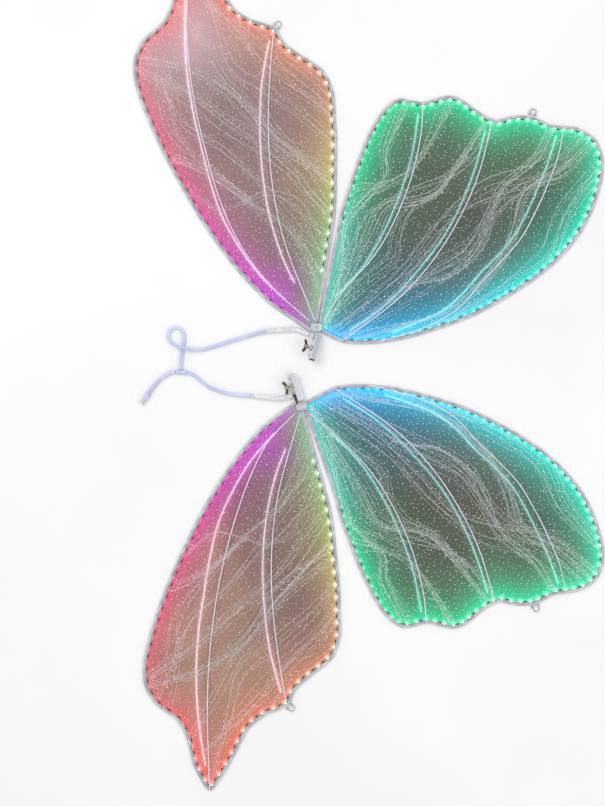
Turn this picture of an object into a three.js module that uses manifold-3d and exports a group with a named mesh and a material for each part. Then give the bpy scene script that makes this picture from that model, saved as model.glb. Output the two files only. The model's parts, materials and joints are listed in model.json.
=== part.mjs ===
// A pair of LED fairy wings, laid flat on the ground with the film side up.
// Each half is a green forewing and a tailed hindwing on sleeved wire frames, which meet at a
// root gusset and a square socket tube with a wing screw. One lead from each half joins at a
// splice and ends in a barrel plug.
// Millimetres, +Z up. +X points to the wearer's head, +Y to the wearer's left half.
// The origin is the centre of the footprint without the leads, on the ground.
// "out" is the distance from the middle line between the halves towards the wing tips.

import * as THREE from 'three';
import { mergeVertices } from 'three/addons/utils/BufferGeometryUtils.js';
import Module from 'manifold-3d';

const wasm = await Module();
wasm.setup();

// ------------------------------------------------------------------ driving dimensions
const GAP = 0.3; // clearance between pieces that touch
const BORE_CLEARANCE = 0.3; // all round the clamp stud
const LEAD_GAP = 1.1; // between a curved lead's end and the splice or plug

const FORE_SPAN = 620; // root to the farthest point of the forewing
const HIND_SPAN = 723; // root to the tip of the hindwing's tail

const WIRE_D = 5; // sleeved frame wire, across flats
const STRIP_HEIGHT = 4.4; // LED strip, standing on edge inside the frame
const STRIP_THICKNESS = 0.5;
const FILM_THICKNESS = 0.4;
const ROD_D = 2; // ribs

const TUBE_SIDE = 12.7; // square socket tube
const TUBE_WALL = 1.5;
const TUBE_LENGTH = 48.6;
const TUBE_CORNER = 1.2;
const CORNER_STEPS = 5;
const TUBE_ROLL = 22; // degrees that the screw's face looks up

const SCREW_FROM_END = 20; // from the socket's open end
const STUD_D = 5;
const SCREW_TRAVEL = 4;
const BOSS_D = 9;
const BOSS_HEIGHT = 3;
const BOSS_CHAMFER = 0.8;
const HUB_D = 8;
const HUB_HEIGHT = 7;
const WING_SPAN = 25;
const WING_HEIGHT = 10;
const WING_THICKNESS = 2.4;

const GUSSET_THICKNESS = 3.6;
const GUSSET_DEPTH = 18;
const GUSSET_WIDTH = 28;

const EYELET_WIRE = 1.8;
const EYELET_BORE = 9.4;
const EYELET_FOOT = 7; // half the length of the eyelet's base
const EYELET_SOLDER = 0.6; // between its feet and the frame wire
const EYELET_OPENING = 38; // degrees either side of the foot that the loop leaves open
const EYELET_STEPS = 12;

const LEAD_D = 6.2;
const SLEEVE_D = 9.4; // wrapped tape over the lead's end
const SLEEVE_STEPS = 6;
const SPLICE_D = 8.8;
const SPLICE_LENGTH = 20;
const SPLICE_TAPER = 3;
const PLUG_D = 9.6;
const PLUG_LENGTH = 18;
const BARREL_D = 5.5;
const BARREL_LENGTH = 9;

// ------------------------------------------------------------------ how each half lies
// root is the place of the half's root, swing turns the socket from the straight inward line,
// pitch lifts its open end, and turn and shift open out each wing panel on its root. The tape
// sleeve starts clear of the frame wires' ends, at "out", and follows its run to the lead.
const HALVES = [
  {
    name: 'left',
    side: 1,
    root: [-94.1, 66.4],
    socket: { start: [2.7, -3.6], swing: 13.5, pitch: 17 },
    fore: { turn: 2.6, shift: [-14, 0] },
    hind: { turn: 4.9, shift: [-2, 1] },
    tailRodSpread: 0.25,
    sleeve: { clear: 3, out: -3, run: [[-37, 6], [-62, 5], [-90, 3]] },
  },
  {
    name: 'right',
    side: -1,
    root: [-120.2, -50.6],
    socket: { start: [-3.6, 3.9], swing: 17.1, pitch: 3 },
    fore: { turn: 0, shift: [0, 0] },
    hind: { turn: 0, shift: [0, 0] },
    tailRodSpread: 1,
    sleeve: { clear: 5.5, out: -4.5, run: [[-41, 1], [-65, -1], [-92, -4]] },
  },
];

// ------------------------------------------------------------------ wing outlines
// Centre lines of the frame wires as [x, out] from the root, all the way round anticlockwise.
const FORE_OUTLINE = [
  [61, -18], [103, -22], [146, -20], [187, -13], [230, -2], [292, 18], [349, 45], [405, 77],
  [457, 117], [499, 166], [527, 223], [540, 284], [526, 325], [493, 345], [452, 351],
  [417, 368], [378, 369], [353, 364], [319, 383], [286, 408], [265, 411], [223, 402],
  [182, 410], [150, 388], [117, 333], [92, 274], [70, 214], [60, 176],
];
const HIND_OUTLINE = [
  [45, 181], [53, 218], [60, 281], [66, 344], [67, 387], [67, 430], [52, 468], [20, 495],
  [-13, 524], [-27, 551], [-65, 568], [-97, 593], [-117, 630], [-137, 666],
  [-152, 689], [-166, 704], [-179, 688], [-195, 655], [-204, 616], [-225, 578], [-260, 552],
  [-281, 518], [-283, 475], [-274, 434], [-247, 353], [-213, 274], [-175, 198], [-130, 126],
  [-77, 60], [-45, 33],
];
const FORE_EYELET = { at: [417, 368], faces: [0.3, 1] };
const HIND_EYELET = { at: [-27, 551], faces: [0.75, 0.66] };
const STATIONS_PER_POINT = 2;

// Ribs as [x, out] from the root: front rods lie over the film, back rods under it.
// A front rod's "from" is its place along the gusset's outer edge, where it starts there.
const FORE_RODS = [
  {
    from: 0.45,
    front: [[63, 70], [130, 141], [188, 248], [217, 347], [223, 404]],
    back: [[50, 62], [108, 121], [161, 211], [199, 309], [214, 384]],
  },
  {
    front: [[57, -18], [148, 42], [200, 88], [252, 151], [297, 226], [324, 290], [346, 370]],
    back: [[74, 1], [142, 46], [244, 154], [290, 231], [316, 294], [333, 350]],
  },
  {
    front: [[122, -22], [190, -5], [261, 25], [325, 89], [386, 150], [457, 286], [474, 351]],
    back: [[150, -6], [250, 34], [314, 95], [376, 157], [444, 289], [460, 334]],
  },
];
const HIND_RODS = [
  {
    from: -0.45,
    front: [[-65, 85], [-113, 196], [-148, 328], [-166, 461], [-170, 565], [-166, 706]],
    back: [[-50, 64], [-92, 113], [-148, 218], [-175, 342], [-189, 454], [-188, 565], [-174, 662]],
  },
  {
    from: -0.1,
    front: [[-42, 169], [-54, 266], [-54, 356], [-43, 461], [-27, 554]],
    back: [[-30, 92], [-50, 148], [-67, 238], [-70, 342], [-58, 454], [-38, 530]],
  },
];
const ROD_STEPS = 10;

// ------------------------------------------------------------------ leads
// Routes on the ground, from where each lead meets its neighbour to where it ends.
const LEAD_SIDES = 8;
const LEAD_STEP = 2.4 * LEAD_D;
const LEAD_REST_Z = LEAD_D / 2 + 0.35; // the tube's corners stay above the ground
const CROSSING_Z = 2.1 * LEAD_D;
const RISING_Z = 1.3 * LEAD_D;
const UPPER_LEAD = [
  [-184.8, 69.6, SLEEVE_D / 2], [-201.7, 65.3, 3.9], [-222.7, 59.4], [-242.7, 53.2], [-262.7, 46.8],
  [-282.7, 40.8], [-301.7, 36.2], [-318.7, 36.6, RISING_Z], [-334.2, 40, CROSSING_Z],
  [-347.7, 44.2, RISING_Z], [-358.2, 52.5], [-360.7, 64.5], [-353.2, 74.5], [-341.2, 75.5],
  [-333.2, 67], [-332.2, 55], [-334.2, 40], [-336.7, 23], [-338.1, 9, 3.9],
  [-338.2, 0.9, SPLICE_D / 2],
];
const LOWER_LEAD = [
  [-212.9, -46.6, SLEEVE_D / 2], [-229.7, -46.2, 3.9], [-248.7, -43.4], [-266.7, -39], [-284.7, -32.2],
  [-299.7, -21.6], [-310.7, -11.8], [-318.7, -7, 3.9], [-328.1, -4.9, SPLICE_D / 2],
];
const TAIL_LEAD = [
  [-348.1, -3.5, SPLICE_D / 2], [-356.7, -5.4, 3.9], [-366.7, -10.8], [-376.7, -18.6], [-386.7, -29.6],
  [-393.3, -39, PLUG_D / 2],
];

// ------------------------------------------------------------------ finishes
const FINISH = {
  sleevedWire: { color: 0xd9dae0, roughness: 0.5, metalness: 0.1 },
  ledStrip: { color: 0xe8e6dc, roughness: 0.5, metalness: 0 },
  foreFilm: { color: 0x6e7a70, roughness: 0.25, metalness: 0 },
  hindFilm: { color: 0x96786f, roughness: 0.25, metalness: 0 },
  frontRod: { color: 0xe6e6ea, roughness: 0.4, metalness: 0.1 },
  backRod: { color: 0xbfd8d6, roughness: 0.5, metalness: 0 },
  aluminium: { color: 0xb4bac0, roughness: 0.35, metalness: 0.9 },
  solder: { color: 0xa9adb2, roughness: 0.6, metalness: 0.4 },
  silverSteel: { color: 0xc8c8c6, roughness: 0.3, metalness: 1 },
  oldBrass: { color: 0x7a6a4e, roughness: 0.4, metalness: 0.9 },
  tape: { color: 0xe4e2da, roughness: 0.7, metalness: 0 },
  lead: { color: 0xdcdcf0, roughness: 0.5, metalness: 0 },
};

// ------------------------------------------------------------------ helpers
const { degToRad } = THREE.MathUtils;

function piece(parent, name, geometry, finish) {
  const mesh = new THREE.Mesh(geometry, new THREE.MeshStandardMaterial(FINISH[finish]));
  mesh.name = name;
  parent.add(mesh);
  return mesh;
}

// A route whose sections stand exactly at the stations given, square to the directions given
// or else to the line between each station's neighbours.
class Route extends THREE.Curve {
  constructor(stations, directions) {
    super();
    this.stations = stations;
    this.directions = directions;
    this.last = stations.length - 1;
  }

  getPoint(t, target = new THREE.Vector3()) {
    const place = Math.min(t, 1) * this.last;
    const from = Math.min(Math.floor(place + 1e-6), this.last - 1);
    return target.lerpVectors(this.stations[from], this.stations[from + 1], place - from);
  }

  getPointAt(u, target) {
    return this.getPoint(u, target);
  }

  getTangentAt(u, target = new THREE.Vector3()) {
    const here = Math.round(u * this.last);
    if (this.directions) return target.copy(this.directions[here]);
    const before = this.stations[Math.max(here - 1, 0)];
    const after = this.stations[Math.min(here + 1, this.last)];
    return target.subVectors(after, before).normalize();
  }
}

function extrudeAlong(stations, section, directions) {
  const extrudePath = new Route(stations, directions);
  return new THREE.ExtrudeGeometry(section, { steps: extrudePath.last, extrudePath });
}

// A regular section with flats on both sides of its first axis.
function roundSection(acrossFlats, sides) {
  const radius = acrossFlats / 2 / Math.cos(Math.PI / sides);
  const corners = Array.from({ length: sides }, (_, i) => {
    const angle = ((2 * i + 1) * Math.PI) / sides;
    return new THREE.Vector2(radius * Math.cos(angle), radius * Math.sin(angle));
  });
  return new THREE.Shape(corners);
}

function rectangle(width, height) {
  return new THREE.Shape([
    new THREE.Vector2(-width / 2, -height / 2), new THREE.Vector2(width / 2, -height / 2),
    new THREE.Vector2(width / 2, height / 2), new THREE.Vector2(-width / 2, height / 2),
  ]);
}

function smooth(points, steps) {
  return new THREE.CatmullRomCurve3(points, false, 'centripetal').getPoints(steps);
}

// A lathed piece about +X, from [radius, x] pairs that start and end on the axis or close.
function turned(profile, segments) {
  const points = profile.map(([radius, x]) => new THREE.Vector2(radius, x));
  return new THREE.LatheGeometry(points, segments).rotateZ(-Math.PI / 2);
}

function toSolid(geometry) {
  const bare = geometry.clone();
  bare.deleteAttribute('normal');
  bare.deleteAttribute('uv');
  const merged = mergeVertices(bare, 1e-4);
  return new wasm.Manifold(new wasm.Mesh({
    numProp: 3,
    vertProperties: new Float32Array(merged.attributes.position.array),
    triVerts: new Uint32Array(merged.index.array),
  }));
}

function toGeometry(solid) {
  const mesh = solid.getMesh();
  const geometry = new THREE.BufferGeometry();
  geometry.setAttribute('position', new THREE.BufferAttribute(mesh.vertProperties, 3));
  geometry.setIndex(new THREE.BufferAttribute(mesh.triVerts, 1));
  return geometry;
}

// ------------------------------------------------------------------ heights and reaches
const wireReach = WIRE_D / 2 / Math.cos(Math.PI / 6); // to the frame section's corners
const wirePitch = 2 * wireReach + GAP; // the wires' ends lie side by side under the gusset
const wireEndsReach = 1.5 * wirePitch + wireReach;
const wireZ = WIRE_D / 2;
const filmZ = ROD_D + GAP;
const backRodZ = ROD_D / 2;
const frontRodZ = WIRE_D + GAP + ROD_D / 2;
const stripZ = (WIRE_D - STRIP_HEIGHT) / 2;
const gussetZ = WIRE_D + GAP;
const tubeReach = (TUBE_SIDE / 2)
  * (Math.cos(degToRad(TUBE_ROLL)) + Math.sin(degToRad(TUBE_ROLL)));

// ------------------------------------------------------------------ one wing panel
// Scales a drawn list to the panel's span, then turns and shifts it on the root.
function panelPlacer(outline, span, { turn, shift }) {
  const drawnSpan = Math.max(...outline.map(([x, out]) => Math.hypot(x, out)));
  const scale = span / drawnSpan;
  const turnAngle = degToRad(turn);
  return ([x, out]) => new THREE.Vector2(x, out)
    .multiplyScalar(scale)
    .rotateAround(new THREE.Vector2(), turnAngle)
    .add(new THREE.Vector2(...shift));
}

// Moves each station of an anticlockwise loop inwards, square to the loop.
function inset(stations, distance) {
  return stations.map((station, i) => {
    const before = stations[Math.max(i - 1, 0)];
    const after = stations[Math.min(i + 1, stations.length - 1)];
    const along = after.clone().sub(before).normalize();
    return new THREE.Vector2(station.x - along.y * distance, station.y + along.x * distance);
  });
}

// Where the lines through two pairs of points cross.
function crossing([a, b], [c, d]) {
  const ab = b.clone().sub(a);
  const cd = d.clone().sub(c);
  return a.clone().addScaledVector(ab, c.clone().sub(a).cross(cd) / ab.cross(cd));
}

function addPanel(parent, half, kind, design) {
  const { side } = half;
  const place = panelPlacer(design.outline, design.span, half[kind]);
  const prefix = `${half.name}_${kind}`;
  const at = (point, z) => new THREE.Vector3(point.x, side * point.y, z);

  const [firstEnd, lastEnd] = design.wireEnds(half);
  const points = [firstEnd, ...design.outline.map(place), lastEnd].map((point) => at(point, wireZ));
  const wire = smooth(points, STATIONS_PER_POINT * (points.length - 1));
  piece(parent, `${prefix}_frame`, extrudeAlong(wire, roundSection(WIRE_D, 6)), 'sleevedWire');

  const stripInset = wireReach + GAP + STRIP_THICKNESS / 2;
  const filmInset = stripInset + STRIP_THICKNESS / 2 + GAP;
  const loop = wire.map((point) => new THREE.Vector2(point.x, side * point.y));
  const stripStations = inset(loop, stripInset)
    .slice(...design.stripRun)
    .map((point) => at(point, stripZ + STRIP_HEIGHT / 2));
  const strip = extrudeAlong(stripStations, rectangle(STRIP_HEIGHT, STRIP_THICKNESS));
  piece(parent, `${prefix}_led_strip`, strip, 'ledStrip');

  const filmLoop = inset(loop, filmInset);
  const rootCorner = crossing(filmLoop.slice(0, 2), filmLoop.slice(-2));
  const filmEdge = [rootCorner, ...filmLoop.slice(1, -1)]
    .map((point) => new THREE.Vector2(point.x, side * point.y));
  const film = new THREE.ExtrudeGeometry(new THREE.Shape(filmEdge), {
    depth: FILM_THICKNESS, bevelEnabled: false,
  });
  piece(parent, `${prefix}_film`, film, `${kind}Film`).position.z = filmZ;

  design.rods.forEach((rod, i) => {
    const blend = i === 0 && kind === 'hind' ? half.tailRodSpread : 1;
    const back = rod.back.map(place);
    const frontRun = rod.front.map(place);
    if (blend < 1) {
      frontRun.slice(0, -1).forEach((point, k) => point.lerp(back[k + 1], 1 - blend));
    }
    if (rod.from !== undefined) {
      const start = new THREE.Vector2(rod.from * GUSSET_WIDTH, gussetFar(half) + GAP + ROD_D);
      frontRun.unshift(start);
    }
    const rods = { front: [frontRun, frontRodZ], back: [back, backRodZ] };
    Object.entries(rods).forEach(([layer, [run, z]]) => {
      const curve = new THREE.CatmullRomCurve3(run.map((point) => at(point, z)), false, 'centripetal');
      const stations = curve.getSpacedPoints(ROD_STEPS);
      const geometry = extrudeAlong(stations, roundSection(ROD_D, 6));
      piece(parent, `${prefix}_${layer}_rib_${i + 1}`, geometry, `${layer}Rod`);
    });
  });

  addEyelet(parent, `${prefix}_eyelet`, design.eyelet, place, half[kind].turn, side);
}

// A loop of thin wire on a two-footed base, soldered to the frame's outer side.
function addEyelet(parent, name, eyelet, place, turn, side) {
  const base = place(eyelet.at);
  const faces = new THREE.Vector2(...eyelet.faces).normalize()
    .rotateAround(new THREE.Vector2(), degToRad(turn));
  const along = new THREE.Vector2(faces.y, -faces.x);
  const loopRadius = (EYELET_BORE + EYELET_WIRE) / 2;
  const footOut = wireReach + GAP + EYELET_WIRE / 2 + EYELET_SOLDER;
  const centreOut = footOut + loopRadius;
  const toWorld = (a, o) => new THREE.Vector3(
    base.x + along.x * a + faces.x * o, side * (base.y + along.y * a + faces.y * o), wireZ,
  );
  const openAngle = degToRad(EYELET_OPENING);
  const arc = Array.from({ length: EYELET_STEPS + 1 }, (_, i) => {
    const angle = openAngle + ((2 * Math.PI - 2 * openAngle) * i) / EYELET_STEPS;
    return toWorld(-loopRadius * Math.sin(angle), centreOut - loopRadius * Math.cos(angle));
  });
  const stations = [toWorld(-EYELET_FOOT, footOut), ...arc, toWorld(EYELET_FOOT, footOut)];
  piece(parent, name, extrudeAlong(stations, roundSection(EYELET_WIRE, 6)), 'silverSteel');
}

// ------------------------------------------------------------------ root, socket and screw
function gussetNear({ socket }) {
  const lean = Math.sin(degToRad(socket.swing)) + Math.sin(degToRad(socket.pitch));
  return socket.start[1] + TUBE_SIDE * Math.SQRT1_2 * lean + GAP;
}

function gussetFar(half) {
  return gussetNear(half) + GUSSET_DEPTH;
}

// The four wires' ends lie side by side just past the socket: hindwing edge, hindwing inner
// side, forewing inner side, forewing edge.
function wireEnd(half, order) {
  const stagger = order === 1 || order === 2 ? 2 : 1;
  return new THREE.Vector2((order - 1.5) * wirePitch, gussetNear(half) + stagger);
}

const DESIGNS = {
  fore: {
    outline: FORE_OUTLINE,
    span: FORE_SPAN,
    rods: FORE_RODS,
    eyelet: FORE_EYELET,
    stripRun: [2, -2],
    wireEnds: (half) => [wireEnd(half, 3), wireEnd(half, 2)],
  },
  hind: {
    outline: HIND_OUTLINE,
    span: HIND_SPAN,
    rods: HIND_RODS,
    eyelet: HIND_EYELET,
    stripRun: [1, -2],
    wireEnds: (half) => [wireEnd(half, 1), wireEnd(half, 0)],
  },
};

function addGusset(parent, half) {
  const near = gussetNear(half);
  const far = gussetFar(half);
  const w = GUSSET_WIDTH / 2;
  const outline = [
    [-0.7 * w, near], [0.6 * w, near], [w, near + 0.35 * GUSSET_DEPTH], [0.85 * w, far],
    [-0.8 * w, far], [-w, near + 0.5 * GUSSET_DEPTH],
  ].map(([x, out]) => new THREE.Vector2(x, half.side * out));
  const plate = new THREE.ExtrudeGeometry(new THREE.Shape(outline), {
    depth: GUSSET_THICKNESS, bevelEnabled: false,
  });
  piece(parent, `${half.name}_root_gusset`, plate, 'solder').position.z = gussetZ;
}

// A frame whose Z runs to the socket's open end and whose X is the screw's axis, outwards.
function socketFrame({ side, socket }) {
  const swing = degToRad(socket.swing);
  const pitch = degToRad(socket.pitch);
  const roll = degToRad(TUBE_ROLL);
  const axis = new THREE.Vector3(
    -Math.sin(swing) * Math.cos(pitch), -side * Math.cos(swing) * Math.cos(pitch), Math.sin(pitch),
  );
  const level = new THREE.Vector3(-Math.cos(swing), side * Math.sin(swing), 0);
  const up = new THREE.Vector3().crossVectors(axis, level).multiplyScalar(-side);
  const screwAxis = level.clone().multiplyScalar(Math.cos(roll)).addScaledVector(up, Math.sin(roll));
  const across = new THREE.Vector3().crossVectors(axis, screwAxis);
  const frame = new THREE.Group();
  frame.quaternion.setFromRotationMatrix(new THREE.Matrix4().makeBasis(screwAxis, across, axis));
  frame.position.set(socket.start[0], side * socket.start[1], tubeReach);
  return frame;
}

function squareWithCorners(size, corner) {
  const h = size / 2;
  const shape = new THREE.Shape();
  shape.moveTo(h - corner, -h);
  shape.absarc(h - corner, -h + corner, corner, -Math.PI / 2, 0);
  shape.absarc(h - corner, h - corner, corner, 0, Math.PI / 2);
  shape.absarc(-h + corner, h - corner, corner, Math.PI / 2, Math.PI);
  shape.absarc(-h + corner, -h + corner, corner, Math.PI, 1.5 * Math.PI);
  return shape;
}

function addSocket(parent, half) {
  const frame = socketFrame(half);
  parent.add(frame);

  const section = squareWithCorners(TUBE_SIDE, TUBE_CORNER);
  section.holes.push(rectangle(TUBE_SIDE - 2 * TUBE_WALL, TUBE_SIDE - 2 * TUBE_WALL));
  const tube = new THREE.ExtrudeGeometry(section, {
    depth: TUBE_LENGTH, bevelEnabled: false, curveSegments: CORNER_STEPS,
  });
  const screwAt = TUBE_LENGTH - SCREW_FROM_END;
  const boreRadius = STUD_D / 2 + BORE_CLEARANCE;
  const drill = new THREE.CylinderGeometry(boreRadius, boreRadius, TUBE_SIDE / 2, 12)
    .rotateZ(-Math.PI / 2)
    .translate(TUBE_SIDE / 2, 0, screwAt);
  const drilled = toSolid(tube).subtract(toSolid(drill));
  piece(frame, `${half.name}_socket_tube`, toGeometry(drilled), 'aluminium');

  const boss = [
    [boreRadius, 0], [BOSS_D / 2, 0], [BOSS_D / 2, BOSS_HEIGHT - BOSS_CHAMFER],
    [BOSS_D / 2 - BOSS_CHAMFER, BOSS_HEIGHT], [boreRadius, BOSS_HEIGHT], [boreRadius, 0],
  ];
  const bossFrom = TUBE_SIDE / 2 + GAP;
  piece(frame, `${half.name}_clamp_boss`, turned(boss, 12), 'silverSteel')
    .position.set(bossFrom, 0, screwAt);

  const studFrom = TUBE_SIDE / 2 - TUBE_WALL;
  const hubFrom = bossFrom + BOSS_HEIGHT + SCREW_TRAVEL + GAP;
  const studLength = hubFrom - GAP - studFrom;
  const stud = [[0, 0], [STUD_D / 2 - 0.6, 0], [STUD_D / 2, 0.6], [STUD_D / 2, studLength], [0, studLength]];
  piece(frame, `${half.name}_clamp_stud`, turned(stud, 10), 'silverSteel')
    .position.set(studFrom, 0, screwAt);

  piece(frame, `${half.name}_clamp_wings`, wingHead(), 'oldBrass')
    .position.set(hubFrom, 0, screwAt);
}

// The wing screw's head: a hub about +X with two wings spread in a V along Z.
function wingHead() {
  const hub = turned([
    [0, 0], [HUB_D / 2, 0], [HUB_D / 2, HUB_HEIGHT * 0.55], [HUB_D / 2 - 1, HUB_HEIGHT], [0, HUB_HEIGHT],
  ], 12);
  const s = WING_SPAN / 2;
  const h = WING_HEIGHT;
  const oneSide = [
    [0.1 * h, 0.1 * s], [0.05 * h, 0.32 * s], [0.42 * h, 0.72 * s], [0.72 * h, 0.96 * s],
    [0.95 * h, s], [h, 0.86 * s], [0.86 * h, 0.66 * s], [0.6 * h, 0.3 * s],
  ];
  const otherSide = oneSide.map(([x, z]) => [x, -z]).reverse();
  const outline = [...oneSide, ...otherSide].map(([x, z]) => new THREE.Vector2(x, z));
  const wings = new THREE.ExtrudeGeometry(new THREE.Shape(outline), {
    depth: WING_THICKNESS, bevelEnabled: false,
  }).translate(0, 0, -WING_THICKNESS / 2).rotateX(Math.PI / 2);
  return toGeometry(toSolid(hub).add(toSolid(wings)));
}

function addSleeve(parent, half) {
  const { clear, out: startOut, run } = half.sleeve;
  const points = [[-wireEndsReach - clear, startOut], ...run]
    .map(([x, out]) => new THREE.Vector3(x, half.side * out, SLEEVE_D / 2));
  const stations = smooth(points, SLEEVE_STEPS);
  piece(parent, `${half.name}_tape_sleeve`, extrudeAlong(stations, roundSection(SLEEVE_D, 8)), 'tape');
}

// ------------------------------------------------------------------ leads, splice and plug
function addLead(parent, name, route) {
  const points = route.map(([x, y, z = LEAD_REST_Z]) => new THREE.Vector3(x, y, z));
  const curve = new THREE.CatmullRomCurve3(points, false, 'centripetal');
  const steps = Math.ceil(curve.getLength() / LEAD_STEP);
  const stations = curve.getSpacedPoints(steps);
  const directions = stations.map((_, i) => curve.getTangentAt(i / steps));
  const section = roundSection(LEAD_D, LEAD_SIDES);
  piece(parent, name, extrudeAlong(stations, section, directions), 'lead');
}

// A round piece laid on the ground from one point towards another, from [radius, distance] pairs.
function layTurned(parent, name, profile, from, towards, height, finish) {
  const mesh = piece(parent, name, turned(profile, 8), finish);
  mesh.position.set(from[0], from[1], height);
  mesh.rotation.z = Math.atan2(towards[1] - from[1], towards[0] - from[0]);
}

function addLeads(parent) {
  addLead(parent, 'upper_lead', UPPER_LEAD);
  addLead(parent, 'lower_lead', LOWER_LEAD);
  addLead(parent, 'tail_lead', TAIL_LEAD);

  const lowerEnd = LOWER_LEAD.at(-1);
  const tailStart = TAIL_LEAD[0];
  const r = SPLICE_D / 2;
  const splice = [
    [0, LEAD_GAP], [0.75 * r, LEAD_GAP], [r, SPLICE_TAPER], [r, SPLICE_LENGTH - SPLICE_TAPER],
    [0.75 * r, SPLICE_LENGTH - LEAD_GAP], [0, SPLICE_LENGTH - LEAD_GAP],
  ];
  layTurned(parent, 'lead_splice', splice, lowerEnd, tailStart, SPLICE_D / 2, 'lead');

  const [plugFrom, before] = [TAIL_LEAD.at(-1), TAIL_LEAD.at(-2)];
  const plugTowards = [2 * plugFrom[0] - before[0], 2 * plugFrom[1] - before[1]];
  const body = [
    [0, LEAD_GAP], [0.7 * PLUG_D / 2, LEAD_GAP], [PLUG_D / 2, 0.3 * PLUG_LENGTH],
    [PLUG_D / 2, PLUG_LENGTH], [0, PLUG_LENGTH],
  ];
  layTurned(parent, 'plug_body', body, plugFrom, plugTowards, PLUG_D / 2, 'lead');
  const barrelFrom = PLUG_LENGTH + GAP;
  const barrel = [
    [0, barrelFrom], [BARREL_D / 2, barrelFrom], [BARREL_D / 2, barrelFrom + BARREL_LENGTH],
    [0, barrelFrom + BARREL_LENGTH],
  ];
  layTurned(parent, 'plug_barrel', barrel, plugFrom, plugTowards, PLUG_D / 2, 'silverSteel');
}

// ------------------------------------------------------------------ the whole pair
const wings = new THREE.Group();
HALVES.forEach((half) => {
  const group = new THREE.Group();
  group.position.set(...half.root, 0);
  wings.add(group);
  addSocket(group, half);
  addGusset(group, half);
  addPanel(group, half, 'fore', DESIGNS.fore);
  addPanel(group, half, 'hind', DESIGNS.hind);
  addSleeve(group, half);
});
addLeads(wings);

export default wings;
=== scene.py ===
import json

import bmesh
import bpy
import numpy as np
from mathutils import Matrix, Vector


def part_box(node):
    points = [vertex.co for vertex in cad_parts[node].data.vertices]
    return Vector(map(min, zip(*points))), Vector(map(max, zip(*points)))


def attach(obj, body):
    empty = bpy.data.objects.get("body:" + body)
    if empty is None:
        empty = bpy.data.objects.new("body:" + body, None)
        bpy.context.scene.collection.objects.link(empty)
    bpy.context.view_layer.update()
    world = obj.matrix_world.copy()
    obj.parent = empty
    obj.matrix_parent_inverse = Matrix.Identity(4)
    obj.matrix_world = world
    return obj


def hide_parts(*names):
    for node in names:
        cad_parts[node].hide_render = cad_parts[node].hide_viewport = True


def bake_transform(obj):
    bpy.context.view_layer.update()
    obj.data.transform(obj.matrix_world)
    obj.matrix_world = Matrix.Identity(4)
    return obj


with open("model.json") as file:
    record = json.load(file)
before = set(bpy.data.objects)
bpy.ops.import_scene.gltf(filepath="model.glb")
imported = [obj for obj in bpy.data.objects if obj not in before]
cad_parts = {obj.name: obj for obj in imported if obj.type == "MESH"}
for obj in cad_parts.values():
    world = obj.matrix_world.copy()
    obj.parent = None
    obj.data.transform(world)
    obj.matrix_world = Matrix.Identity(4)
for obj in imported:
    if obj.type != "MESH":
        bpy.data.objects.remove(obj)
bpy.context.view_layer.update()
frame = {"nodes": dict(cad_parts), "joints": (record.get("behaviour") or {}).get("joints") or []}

rng = np.random.default_rng(11)
MM = 0.001
UP = np.array([0.0, 0.0, 1.0])
HALF_SIDES = {"left": 1, "right": -1}

# ---------------------------------------------------------------- camera
# Straight above the wings, with the wearer's left half at the top and the leads to the left.
# The view ends just short of the left hindwing's tip and takes in all the rest.
view_centre = np.array([-119.3, -59.7]) * MM
view_height = 1451 * MM
lens, sensor = 70, 36
camera = bpy.data.objects.new("camera", bpy.data.cameras.new("camera"))
camera.data.lens = lens
camera.data.sensor_width = sensor
camera.location = (*view_centre, view_height * lens / sensor)
bpy.context.scene.collection.objects.link(camera)
bpy.context.scene.camera = camera


# ---------------------------------------------------------------- leads
# Three stretches of soft round low-voltage cable in lilac-white plastic, one from each half to
# the splice and one on to the plug. They lie loose, and the upper one crosses itself once.
def through(points, count):
    """Evenly spaced points on the centripetal Catmull-Rom curve through the points: each span is
    a Hermite cubic, whose end slopes weigh the neighbouring spans by the root of their length."""
    p = np.asarray(points, float)
    p = np.vstack([2 * p[:1] - p[1:2], p, 2 * p[-1:] - p[-2:-1]])
    knots = np.sqrt(np.linalg.norm(np.diff(p, axis=0), axis=1))[:, None, None]
    d0, d1, d2 = knots[:-2], knots[1:-1], knots[2:]
    p0, p1, p2, p3 = p[:-3, None], p[1:-2, None], p[2:-1, None], p[3:, None]
    slope1 = d1 * ((p1 - p0) / d0 - (p2 - p0) / (d0 + d1) + (p2 - p1) / d1)
    slope2 = d1 * ((p2 - p1) / d1 - (p3 - p1) / (d1 + d2) + (p3 - p2) / d2)
    t = np.linspace(0, 1, 24, endpoint=False)[None, :, None]
    spans = ((2 * t**3 - 3 * t**2 + 1) * p1 + (t**3 - 2 * t**2 + t) * slope1
             + (3 * t**2 - 2 * t**3) * p2 + (t**3 - t**2) * slope2)
    return evenly(np.vstack([spans.reshape(-1, p.shape[1]), p2[-1]]), count)


def evenly(line, count):
    """The line's points again, spaced evenly by its length."""
    run = np.concatenate([[0], np.cumsum(np.linalg.norm(np.diff(line, axis=0), axis=1))])
    at = np.linspace(0, run[-1], count)
    return np.stack([np.interp(at, run, column) for column in line.T], axis=1)


def unit(vectors):
    return vectors / np.linalg.norm(vectors, axis=-1, keepdims=True)


def tube(path, radius, sides=14):
    """Rings square to a path: point = path + radius (cos a * level + sin a * up). The radius is
    one number, one for each row, or one for each point."""
    tangent = unit(np.gradient(path, axis=0))
    level = unit(np.cross(UP, tangent))
    rise = np.cross(tangent, level)
    angle = np.arange(sides) * 2 * np.pi / sides
    around = (np.cos(angle)[None, :, None] * level[:, None]
              + np.sin(angle)[None, :, None] * rise[:, None])
    radius = np.asarray(radius, float)
    radius = radius.reshape(radius.shape + (1,) * (2 - radius.ndim))
    return path[:, None] + around * radius[..., None]


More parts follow.
